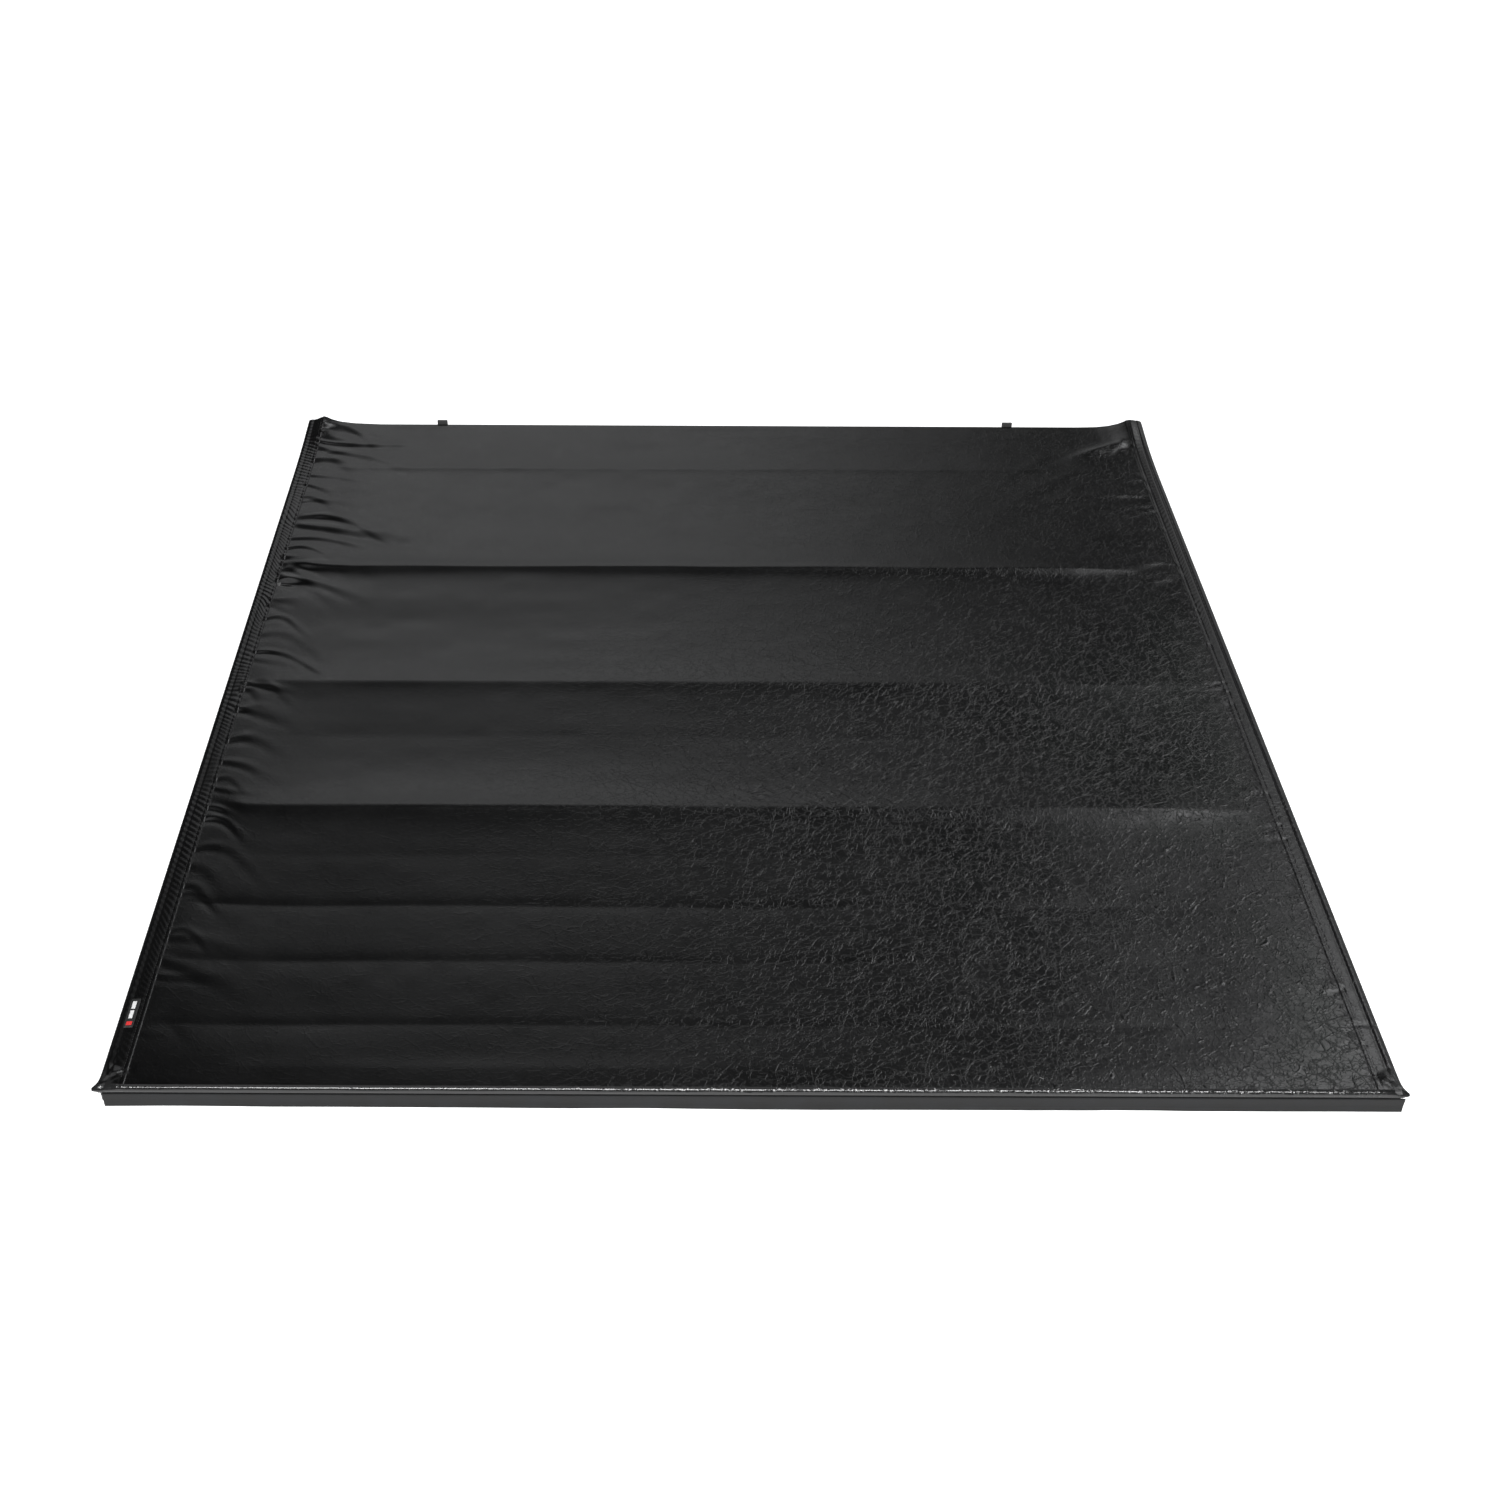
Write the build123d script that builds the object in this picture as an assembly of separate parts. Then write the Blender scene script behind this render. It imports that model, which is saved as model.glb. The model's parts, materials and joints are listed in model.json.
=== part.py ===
from build123d import *
import math
import os

# A roll-up soft tonneau cover for a pickup bed, unrolled, with its latches drawn back.
# Millimetres. +X is the truck's right, +Y is towards the cab, +Z is up.
# The origin is the middle of the bulkhead seal's underside, in the plane of the bed's top rails.
# "u" is a distance inboard from the cover's side edge, and "t" a distance forward from its tail edge.

# ---- the cover as a whole ----
COVER_WIDTH = 1690.0
COVER_LENGTH = 1750.0
FRONT_EDGE_Y = 25.0
HALF_WIDTH = COVER_WIDTH / 2
TAIL_EDGE_Y = FRONT_EDGE_Y - COVER_LENGTH
FIT_GAP = 0.1

# ---- heights of the layers, from the bed's rails up ----
SEAL_HEIGHT = 6.0
RAIL_TOP_Z = 30.0
HOOK_THICKNESS = 1.5
LOOP_THICKNESS = 1.3
SKIN_THICKNESS = 1.2
HOOK_BOTTOM_Z = RAIL_TOP_Z + FIT_GAP
HOOK_TOP_Z = HOOK_BOTTOM_Z + HOOK_THICKNESS
LOOP_BOTTOM_Z = HOOK_TOP_Z + FIT_GAP
LOOP_TOP_Z = LOOP_BOTTOM_Z + LOOP_THICKNESS
SKIN_BOTTOM_Z = LOOP_TOP_Z + FIT_GAP
SKIN_TOP_Z = SKIN_BOTTOM_Z + SKIN_THICKNESS
FRAME_TOP_Z = SKIN_BOTTOM_Z - FIT_GAP

# ---- skin: panels between fold lines, a quarter turn at each fold ----
HEM_WIDTH = 33.0
HEM_RISE = 0.8
FOLD_SLIT = 0.6
TAIL_PANEL_LENGTH = 117.0
CORE_PANEL_LENGTH = 90.0
FIRST_WALL_LENGTH = 123.0
FIRST_LID_LENGTH = 158.0
FRONT_PANEL_LENGTH = 260.0
WALL_COUNT = 4
LID_COUNT = 3
TAIL_NOSE_RADIUS = 7.0
TAIL_LEG_BOTTOM_Z = 24.0
FRONT_NOSE_RADIUS = 4.0
FRONT_LEG_BOTTOM_Z = 25.0
TONGUE_LENGTH = 2.3

# ---- edge cords in the end grooves ----
CORD_RADIUS = 2.0
CORD_GROOVE_RADIUS = 2.7
GROOVE_MOUTH = 2.0

# ---- side rails ----
RAIL_U = 2.0
RAIL_WIDTH = 38.0
RAIL_WALL = 2.0
RAIL_LEG_THICKNESS = 2.5
RAIL_LEG_BOTTOM_Z = -30.0
RAIL_LIP_WIDTH = 8.0
SHELF_WIDTH = 22.0
SHELF_TOP_Z = 18.0
RAIL_START_T = 39.0
SHELF_START_T = 130.0
SHELF_END_T = 1640.0
SEAL_INSET = 4.0

# ---- header rail ----
HEADER_DEPTH = 46.0
HEADER_WALL = 2.0
HEADER_SEAL_DEPTH = 30.0
HEADER_END_GAP = 1.0

# ---- bows ----
BOW_TS = (560.0, 878.0, 1225.0, 1577.0)
BOW_DEPTH = 28.0
BOW_HEIGHT = 12.0
BOW_WALL = 1.5
BOW_CORNER = 3.0
BOW_END_U = 50.0
PLUG_FLANGE = 4.0
PLUG_SPIGOT = 25.0

# ---- rear bar and skirt ----
BAR_FRONT_T = 36.0
BAR_BOTTOM_Z = 8.0
BAR_WALL = 2.0
BAR_GROOVE_BLOCK = 10.5
SKIRT_THICKNESS = 2.0
SKIRT_TOP_Z = 22.4
SKIRT_BOTTOM_Z = -1.0
SKIRT_BEAD_RADIUS = 1.6
SKIRT_BEAD_Z = 16.0
SKIRT_SLOT_RADIUS = 2.0
SKIRT_NECK = 1.2
SKIRT_MOUTH = 1.8

# ---- latches ----
LATCH_U = 50.0
LATCH_LENGTH = 40.0
LATCH_FRONT_T = 62.0
LATCH_BOTTOM_Z = 10.0
LATCH_TOP_Z = 31.0
LATCH_WALL = 2.0
BOLT_T = 50.0
BOLT_Z = 20.0
BOLT_SIZE = 12.0
BOLT_TIP_U = 44.0
BOLT_LENGTH = 26.0
BOLT_CLEARANCE = 0.3
STEM_RADIUS = 2.5
STEM_LENGTH = 14.0
SPRING_RADIUS = 4.2
SPRING_WIRE = 0.5
SPRING_TURNS = 6.0
STRIKER_SLOT = 14.0

# ---- release lever and cables ----
LEVER_T = 49.5
DRUM_RADIUS = 10.0
DRUM_BOTTOM_Z = 15.0
DRUM_TOP_Z = 25.0
LEVER_BOTTOM_Z = 10.0
LEVER_ARM = 52.0
LEVER_WIDTH = 11.0
PIVOT_RADIUS = 3.0
PIVOT_CLEARANCE = 0.05
BRACKET_HALF_WIDTH = 32.0
BRACKET_BOTTOM_Z = 27.0
CABLE_RADIUS = 2.0
WIRE_RADIUS = 0.7
CABLE_END_X = 30.0

# ---- corner brackets and screws ----
BRACKET_PLATE = 3.0
BRACKET_LEG = 45.0
BRACKET_LOW_Z = 10.0
BRACKET_HIGH_Z = 26.0
SCREW_RADIUS = 2.5
SCREW_HOLE_RADIUS = 2.6
SCREW_HEAD_RADIUS = 4.5
SCREW_HEAD_HEIGHT = 2.4
SCREW_SHANK = 9.0
SCREW_OFFSETS = (14.0, 32.0)

# ---- bed clamps ----
CLAMP_TS = (300.0, 1400.0)
CLAMP_WIDTH = 38.0
CLAMP_BACK_U = 70.0
CLAMP_SPINE = 8.0
CLAMP_ARM_TOP_Z = -12.0
CLAMP_ARM_BOTTOM_Z = -24.0
CLAMP_HOOK_WIDTH = 4.6
CLAMP_FOOT_TOP_Z = -78.0
CLAMP_FOOT_BOTTOM_Z = -86.0
CLAMP_SCREW_U = 54.0
CLAMP_SCREW_RADIUS = 4.0
CLAMP_SCREW_CLEARANCE = 0.05
CLAMP_HEAD_RADIUS = 7.0
CLAMP_HEAD_HEIGHT = 6.0
JAW_TOP_Z = -56.0
JAW_HEIGHT = 12.0
JAW_TOE_U = 34.0
JAW_TOE_WIDTH = 7.0
JAW_TOE_RISE = 4.0

# ---- storage straps ----
STRAP_X = 575.0
STRAP_WIDTH = 20.0
STRAP_THICKNESS = 1.4
STRAP_LOOP_RISE = 6.5
STRAP_LEG_GAP = 3.6
STRAP_REAR_BOTTOM_Z = -60.0
STRAP_SCREW_Z = 14.0
BUCKLE_WIDTH = 32.0
BUCKLE_HEIGHT = 26.0
BUCKLE_THICKNESS = 6.0
BUCKLE_GRIP = 5.0

# ---- label on the left hem ----
LABEL_START_T = 119.5
LABEL_LENGTH = 40.0
LABEL_U = 9.0
LABEL_WIDTH = 14.0
LABEL_THICKNESS = 1.0
LABEL_CORNER = 3.0


# ---- helpers ----
def y_at(t):
    """Y of a distance t forward from the tail edge."""
    return TAIL_EDGE_Y + t


def left_x(u):
    """X of a distance u inboard from the left side edge."""
    return -HALF_WIDTH + u


def mirrored(solid):
    """The right-hand twin of a left-hand solid."""
    return mirror(solid, about=Plane.YZ)


def block(x_range, y_range, z_range):
    """A box between two X, two Y and two Z values."""
    size = [high - low for low, high in (x_range, y_range, z_range)]
    middle = [(high + low) / 2 for low, high in (x_range, y_range, z_range)]
    return Pos(*middle) * Box(*size)


def outline(points):
    """A flat closed face through the given points."""
    return make_face(Polyline(*points, close=True))


def along_y(face, y_low, y_high):
    """Extrude a face drawn in X and Z from y_low to y_high."""
    placed = Plane.XZ.offset(-y_low) * face
    return extrude(placed, amount=y_high - y_low, dir=(0, 1, 0))


def along_x(face, x_low, x_high):
    """Extrude a face drawn in Y and Z from x_low to x_high."""
    placed = Plane.YZ.offset(x_low) * face
    return extrude(placed, amount=x_high - x_low, dir=(1, 0, 0))


def rectangle(a_range, b_range):
    """A flat rectangle between two values on each of its axes."""
    size = [high - low for low, high in (a_range, b_range)]
    middle = [(high + low) / 2 for low, high in (a_range, b_range)]
    return Pos(*middle) * Rectangle(*size)


def rod_x(x_low, x_high, y, z, radius):
    """A round bar along X."""
    return along_x(Pos(y, z) * Circle(radius), x_low, x_high)


def rod_y(x, y_low, y_high, z, radius):
    """A round bar along Y."""
    return along_y(Pos(x, z) * Circle(radius), y_low, y_high)


def rod_z(x, y, z_low, z_high, radius):
    """A round bar along Z."""
    return Pos(x, y, z_low) * extrude(Circle(radius), amount=z_high - z_low, dir=(0, 0, 1))


# ---- skin ----
def panel_lengths():
    """Panel lengths from tail to front. In the roll they are the sides of a square spiral that
    grows by the same step at each turn, so the step follows from the cover's length."""
    fixed = TAIL_PANEL_LENGTH + CORE_PANEL_LENGTH + FRONT_PANEL_LENGTH
    first_sides = WALL_COUNT * FIRST_WALL_LENGTH + LID_COUNT * FIRST_LID_LENGTH
    steps = sum(range(WALL_COUNT)) + sum(range(LID_COUNT))
    growth = (COVER_LENGTH - fixed - first_sides) / steps
    lengths = [TAIL_PANEL_LENGTH, CORE_PANEL_LENGTH]
    for turn in range(WALL_COUNT):
        lengths.append(FIRST_WALL_LENGTH + turn * growth)
        if turn < LID_COUNT:
            lengths.append(FIRST_LID_LENGTH + turn * growth)
    lengths.append(FRONT_PANEL_LENGTH)
    return lengths


def panel_spans():
    """(start t, end t) of each panel, with half a fold slit left free at each fold line."""
    spans = []
    start = 0.0
    lengths = panel_lengths()
    for index, length in enumerate(lengths):
        low = start + (FOLD_SLIT / 2 if index > 0 else 0.0)
        high = start + length - (FOLD_SLIT / 2 if index < len(lengths) - 1 else 0.0)
        spans.append((low, high))
        start += length
    return spans


def skin_section():
    """Skin across the cover: one sheet, doubled in the two side hems."""
    hem_x = HALF_WIDTH - HEM_WIDTH
    hem_top = SKIN_TOP_Z + HEM_RISE
    return outline([
        (-HALF_WIDTH, SKIN_BOTTOM_Z),
        (HALF_WIDTH, SKIN_BOTTOM_Z),
        (HALF_WIDTH, hem_top),
        (hem_x, hem_top),
        (hem_x, SKIN_TOP_Z),
        (-hem_x, SKIN_TOP_Z),
        (-hem_x, hem_top),
        (-HALF_WIDTH, hem_top),
    ])


def folded_edge(edge_y, inward, radius, leg_bottom_z):
    """Skin turned down over an end rail: a rounded nose, a short leg and a tongue into the groove.
    inward is +1 when the cover lies towards +Y from this edge, and -1 when it lies towards -Y."""
    outer = radius
    inner = radius - SKIN_THICKNESS
    bend = math.sqrt(0.5)
    centre_y = edge_y + inward * outer
    centre_z = SKIN_TOP_Z - outer
    tongue_y = edge_y + inward * (SKIN_THICKNESS + TONGUE_LENGTH)
    leg_inside_y = edge_y + inward * SKIN_THICKNESS
    tongue_top_z = leg_bottom_z + SKIN_THICKNESS
    boundary = [
        ThreePointArc(
            (centre_y, SKIN_TOP_Z),
            (centre_y - inward * outer * bend, centre_z + outer * bend),
            (edge_y, centre_z),
        ),
        Polyline(
            (edge_y, centre_z),
            (edge_y, leg_bottom_z),
            (tongue_y, leg_bottom_z),
            (tongue_y, tongue_top_z),
            (leg_inside_y, tongue_top_z),
            (leg_inside_y, centre_z),
        ),
        ThreePointArc(
            (leg_inside_y, centre_z),
            (centre_y - inward * inner * bend, centre_z + inner * bend),
            (centre_y, SKIN_BOTTOM_Z),
        ),
        Line((centre_y, SKIN_BOTTOM_Z), (centre_y, SKIN_TOP_Z)),
    ]
    return along_x(make_face(boundary), -HALF_WIDTH, HALF_WIDTH)


def skin_panels():
    """The nine moving panels and the fixed front panel."""
    parts = {}
    spans = panel_spans()
    for index, (start, end) in enumerate(spans):
        first = index == 0
        last = index == len(spans) - 1
        low = y_at(start) + (TAIL_NOSE_RADIUS if first else 0.0)
        high = y_at(end) - (FRONT_NOSE_RADIUS if last else 0.0)
        panel = along_y(skin_section(), low, high)
        if first:
            panel += folded_edge(TAIL_EDGE_Y, 1, TAIL_NOSE_RADIUS, TAIL_LEG_BOTTOM_Z)
        if last:
            panel += folded_edge(FRONT_EDGE_Y, -1, FRONT_NOSE_RADIUS, FRONT_LEG_BOTTOM_Z)
        name = "cover_front_panel" if last else f"cover_panel_{index + 1}"
        parts[name] = [panel]
    return parts


def loop_strips():
    """The loop strips sewn under both hems, cut at the fold lines."""
    parts = {}
    spans = panel_spans()
    for index, (start, end) in enumerate(spans):
        last = index == len(spans) - 1
        low = y_at(max(start, RAIL_START_T))
        high = header_rear_y() - HEADER_END_GAP if last else y_at(end)
        strip = block(
            (left_x(RAIL_U + 1), left_x(RAIL_U + RAIL_WIDTH - 1)),
            (low, high),
            (LOOP_BOTTOM_Z, LOOP_TOP_Z),
        )
        name = "loop_strips_front" if last else f"loop_strips_{index + 1}"
        parts[name] = [strip, mirrored(strip)]
    return parts


# ---- header ----
def header_rear_y():
    return -HEADER_DEPTH / 2


def cord_groove(edge_y, inward, leg_bottom_z):
    """Centre (y, z) of the edge cord behind a folded edge, and the face of its groove with its mouth."""
    centre_y = edge_y + inward * (SKIN_THICKNESS + TONGUE_LENGTH + FIT_GAP + CORD_RADIUS)
    centre_z = leg_bottom_z + SKIN_THICKNESS / 2
    mouth_y = sorted((edge_y, centre_y))
    mouth_z = (centre_z - GROOVE_MOUTH / 2, centre_z + GROOVE_MOUTH / 2)
    groove = Pos(centre_y, centre_z) * Circle(CORD_GROOVE_RADIUS)
    groove += rectangle(mouth_y, mouth_z)
    return (centre_y, centre_z), groove


def header():
    """Header rail across the bulkhead, with its seal and the cord that holds the skin's front edge."""
    end_x = HALF_WIDTH - RAIL_U
    half = HEADER_DEPTH / 2
    chamfer = FRONT_NOSE_RADIUS - SKIN_THICKNESS
    body = outline([
        (-half, SEAL_HEIGHT),
        (half, SEAL_HEIGHT),
        (half, FRAME_TOP_Z - chamfer),
        (half - chamfer, FRAME_TOP_Z),
        (-half, FRAME_TOP_Z),
    ])
    cord_at, groove = cord_groove(FRONT_EDGE_Y, -1, FRONT_LEG_BOTTOM_Z)
    cavity_high = cord_at[0] - CORD_GROOVE_RADIUS - HEADER_WALL
    cavity = rectangle(
        (-half + HEADER_WALL, cavity_high),
        (SEAL_HEIGHT + HEADER_WALL, FRAME_TOP_Z - HEADER_WALL),
    )
    lower_cavity = rectangle(
        (0.0, half - HEADER_WALL),
        (SEAL_HEIGHT + HEADER_WALL, cord_at[1] - CORD_GROOVE_RADIUS - HEADER_WALL),
    )
    rail = along_x(body - cavity - lower_cavity - groove, -end_x, end_x)
    for x in (-STRAP_X, STRAP_X):
        rail -= rod_y(x, -half - 1, half + 1, STRAP_SCREW_Z, SCREW_HOLE_RADIUS)
    for u in corner_screw_us():
        for x in (left_x(u), -left_x(u)):
            rail -= rod_y(x, -half - 1, 0, bracket_middle_z(), SCREW_HOLE_RADIUS)
    seal = block(
        (-end_x, end_x),
        (-HEADER_SEAL_DEPTH / 2, HEADER_SEAL_DEPTH / 2),
        (0, SEAL_HEIGHT - FIT_GAP),
    )
    cord = rod_x(-end_x, end_x, *cord_at, CORD_RADIUS)
    return {"header_rail": [rail], "bulkhead_seal": [seal], "front_edge_cord": [cord]}


# ---- side rails ----
def rail_section():
    """Left rail: a hollow box, an inner leg with a lip for the clamps."""
    box_end = RAIL_U + RAIL_WIDTH
    leg_end = box_end + RAIL_LEG_THICKNESS
    lip_end = box_end + RAIL_LIP_WIDTH
    lip_top = RAIL_LEG_BOTTOM_Z + RAIL_WALL
    solid = outline([
        (left_x(RAIL_U), SEAL_HEIGHT),
        (left_x(box_end), SEAL_HEIGHT),
        (left_x(box_end), RAIL_LEG_BOTTOM_Z),
        (left_x(lip_end), RAIL_LEG_BOTTOM_Z),
        (left_x(lip_end), lip_top),
        (left_x(leg_end), lip_top),
        (left_x(leg_end), RAIL_TOP_Z),
        (left_x(RAIL_U), RAIL_TOP_Z),
    ])
    cavity = rectangle(
        (left_x(RAIL_U + RAIL_WALL), left_x(box_end - RAIL_WALL)),
        (SEAL_HEIGHT + RAIL_WALL, RAIL_TOP_Z - RAIL_WALL),
    )
    return solid - cavity


def side_rails():
    """Side rails with bow shelf and striker slot, their seals and the hook strips on top."""
    start = y_at(RAIL_START_T)
    end = header_rear_y() - HEADER_END_GAP
    rail = along_y(rail_section(), start, end)
    leg_u = RAIL_U + RAIL_WIDTH + RAIL_LEG_THICKNESS
    rail += block(
        (left_x(leg_u), left_x(leg_u + SHELF_WIDTH)),
        (y_at(SHELF_START_T), y_at(SHELF_END_T)),
        (SHELF_TOP_Z - RAIL_WALL, SHELF_TOP_Z),
    )
    rail -= block(
        (left_x(RAIL_U + RAIL_WIDTH - RAIL_WALL - 1), left_x(leg_u + 1)),
        (y_at(BOLT_T - STRIKER_SLOT / 2), y_at(BOLT_T + STRIKER_SLOT / 2)),
        (BOLT_Z - STRIKER_SLOT / 2, BOLT_Z + STRIKER_SLOT / 2),
    )
    for y in corner_screw_ys():
        rail -= rod_x(left_x(leg_u - 8), left_x(leg_u + 1), y, bracket_middle_z(), SCREW_HOLE_RADIUS)
    seal = block(
        (left_x(RAIL_U + SEAL_INSET), left_x(RAIL_U + RAIL_WIDTH - SEAL_INSET)),
        (start, end),
        (0, SEAL_HEIGHT - FIT_GAP),
    )
    hook = block(
        (left_x(RAIL_U + 1), left_x(RAIL_U + RAIL_WIDTH - 1)),
        (start, end),
        (HOOK_BOTTOM_Z, HOOK_TOP_Z),
    )
    return {
        "left_rail": [rail],
        "right_rail": [mirrored(rail)],
        "rail_seals": [seal, mirrored(seal)],
        "rail_hook_strips": [hook, mirrored(hook)],
    }


# ---- corner brackets ----
def bracket_u():
    """Inboard face of the rail's leg, plus the fit gap."""
    return RAIL_U + RAIL_WIDTH + RAIL_LEG_THICKNESS + FIT_GAP


def bracket_middle_z():
    return (BRACKET_LOW_Z + BRACKET_HIGH_Z) / 2


def corner_screw_us():
    """u of the two screws into the header."""
    return [bracket_u() + offset for offset in SCREW_OFFSETS]


def corner_screw_ys():
    """Y of the two screws into the side rail."""
    corner_y = header_rear_y() - FIT_GAP
    return [corner_y - HEADER_END_GAP - offset for offset in SCREW_OFFSETS]


def screw_along_x(head_x, y, z, direction):
    """A button-head screw whose head bears on head_x and whose shank points along direction in X."""
    tip_x = head_x + direction * SCREW_SHANK
    top_x = head_x - direction * SCREW_HEAD_HEIGHT
    shank = rod_x(min(head_x, tip_x), max(head_x, tip_x), y, z, SCREW_RADIUS)
    head = rod_x(min(head_x, top_x), max(head_x, top_x), y, z, SCREW_HEAD_RADIUS)
    return shank + head


def screw_along_y(x, head_y, z, direction):
    """The same screw, with its shank along direction in Y."""
    tip_y = head_y + direction * SCREW_SHANK
    top_y = head_y - direction * SCREW_HEAD_HEIGHT
    shank = rod_y(x, min(head_y, tip_y), max(head_y, tip_y), z, SCREW_RADIUS)
    head = rod_y(x, min(head_y, top_y), max(head_y, top_y), z, SCREW_HEAD_RADIUS)
    return shank + head


def corner_brackets():
    """An angle plate in each front corner and the screws of plates and straps."""
    u_low = bracket_u()
    y_high = header_rear_y() - FIT_GAP
    z_range = (BRACKET_LOW_Z, BRACKET_HIGH_Z)
    side_leg = block(
        (left_x(u_low), left_x(u_low + BRACKET_PLATE)),
        (y_high - BRACKET_LEG, y_high),
        z_range,
    )
    front_leg = block(
        (left_x(u_low), left_x(u_low + BRACKET_LEG)),
        (y_high - BRACKET_PLATE, y_high),
        z_range,
    )
    plate = side_leg + front_leg
    middle_z = bracket_middle_z()
    side_head_x = left_x(u_low + BRACKET_PLATE + FIT_GAP)
    front_head_y = y_high - BRACKET_PLATE - FIT_GAP
    screws = []
    for y in corner_screw_ys():
        plate -= rod_x(left_x(u_low - 1), left_x(u_low + BRACKET_PLATE + 1), y, middle_z, SCREW_HOLE_RADIUS)
        screws.append(screw_along_x(side_head_x, y, middle_z, -1))
    for u in corner_screw_us():
        plate -= rod_y(left_x(u), y_high - BRACKET_PLATE - 1, y_high + 1, middle_z, SCREW_HOLE_RADIUS)
        screws.append(screw_along_y(left_x(u), front_head_y, middle_z, 1))
    screws += [mirrored(screw) for screw in screws]
    half = HEADER_DEPTH / 2
    strap_depth = STRAP_THICKNESS + 2 * FIT_GAP
    for x in (-STRAP_X, STRAP_X):
        screws.append(screw_along_y(x, half + strap_depth, STRAP_SCREW_Z, -1))
        screws.append(screw_along_y(x, -half - strap_depth, STRAP_SCREW_Z, 1))
    return {"corner_brackets": [plate, mirrored(plate)], "frame_screws": screws}


# ---- bows ----
def bow_face(shrink):
    """Bow section, drawn around its own middle, made smaller all round by shrink."""
    face = Rectangle(BOW_DEPTH - 2 * shrink, BOW_HEIGHT - 2 * shrink)
    return fillet(face.vertices(), max(BOW_CORNER - shrink, 0.4))


def bows():
    """Hollow cross bows and the plastic plugs whose feet stand on the rails' shelves."""
    parts = {}
    middle_z = FRAME_TOP_Z - BOW_HEIGHT / 2
    end_x = left_x(BOW_END_U)
    tube_low = end_x + PLUG_FLANGE / 2
    for index, t in enumerate(BOW_TS):
        y = y_at(t)
        outside = along_x(Pos(y, middle_z) * bow_face(0), tube_low, -tube_low)
        inside = along_x(Pos(y, middle_z) * bow_face(BOW_WALL), tube_low - 1, 1 - tube_low)
        spigot = along_x(
            Pos(y, middle_z) * bow_face(BOW_WALL + FIT_GAP),
            tube_low - FIT_GAP,
            tube_low + PLUG_SPIGOT,
        )
        flange = block(
            (end_x - PLUG_FLANGE / 2, tube_low - FIT_GAP),
            (y - BOW_DEPTH / 2, y + BOW_DEPTH / 2),
            (SHELF_TOP_Z + FIT_GAP, FRAME_TOP_Z),
        )
        plug = spigot + flange
        parts[f"bow_{index + 1}"] = [outside - inside]
        parts[f"bow_{index + 1}_plugs"] = [plug, mirrored(plug)]
    return parts


# ---- rear bar ----
def bar_outline():
    """Outside of the rear bar, rounded where the skin turns down over it."""
    back_y = TAIL_EDGE_Y + SKIN_THICKNESS + FIT_GAP
    front_y = y_at(BAR_FRONT_T)
    radius = TAIL_NOSE_RADIUS - SKIN_THICKNESS - FIT_GAP
    centre_y = back_y + radius
    centre_z = FRAME_TOP_Z - radius
    bend = math.sqrt(0.5)
    return make_face([
        Polyline(
            (centre_y, FRAME_TOP_Z),
            (front_y, FRAME_TOP_Z),
            (front_y, BAR_BOTTOM_Z),
            (back_y, BAR_BOTTOM_Z),
            (back_y, centre_z),
        ),
        ThreePointArc(
            (back_y, centre_z),
            (centre_y - radius * bend, centre_z + radius * bend),
            (centre_y, FRAME_TOP_Z),
        ),
    ])


def rear_bar():
    """Rear bar with its grooves, end caps, the cord in its groove and the rubber skirt."""
    back_y = TAIL_EDGE_Y + SKIN_THICKNESS + FIT_GAP
    end_x = HALF_WIDTH - RAIL_U
    cord_at, groove = cord_groove(TAIL_EDGE_Y, 1, TAIL_LEG_BOTTOM_Z)
    cavity = rectangle(
        (back_y + BAR_GROOVE_BLOCK, y_at(BAR_FRONT_T - BAR_WALL)),
        (BAR_BOTTOM_Z + BAR_WALL, FRAME_TOP_Z - BAR_WALL),
    )
    bead_y = back_y + 1.0 + SKIRT_SLOT_RADIUS
    slot = Pos(bead_y, SKIRT_BEAD_Z) * Circle(SKIRT_SLOT_RADIUS)
    slot += rectangle(
        (back_y - 1, bead_y),
        (SKIRT_BEAD_Z - SKIRT_MOUTH / 2, SKIRT_BEAD_Z + SKIRT_MOUTH / 2),
    )
    bar = along_x(bar_outline() - cavity - groove - slot, -end_x, end_x)
    cap = block(
        (-HALF_WIDTH, -end_x - FIT_GAP),
        (back_y + BAR_GROOVE_BLOCK, y_at(BAR_FRONT_T)),
        (BAR_BOTTOM_Z, FRAME_TOP_Z),
    )
    spigot = block(
        (-end_x - FIT_GAP, -end_x + PLUG_SPIGOT),
        (back_y + BAR_GROOVE_BLOCK + FIT_GAP, y_at(BAR_FRONT_T - BAR_WALL) - FIT_GAP),
        (BAR_BOTTOM_Z + BAR_WALL + FIT_GAP, FRAME_TOP_Z - BAR_WALL - FIT_GAP),
    )
    cap += spigot
    skirt_front_y = back_y - FIT_GAP
    skirt = rectangle(
        (skirt_front_y - SKIRT_THICKNESS, skirt_front_y),
        (SKIRT_BOTTOM_Z, SKIRT_TOP_Z),
    )
    skirt += rectangle(
        (skirt_front_y - 1, bead_y),
        (SKIRT_BEAD_Z - SKIRT_NECK / 2, SKIRT_BEAD_Z + SKIRT_NECK / 2),
    )
    skirt += Pos(bead_y, SKIRT_BEAD_Z) * Circle(SKIRT_BEAD_RADIUS)
    return {
        "rear_bar": [bar],
        "rear_bar_end_caps": [cap, mirrored(cap)],
        "rear_edge_cord": [rod_x(-end_x, end_x, *cord_at, CORD_RADIUS)],
        "tail_skirt": [along_x(skirt, -HALF_WIDTH, HALF_WIDTH)],
    }


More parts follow.
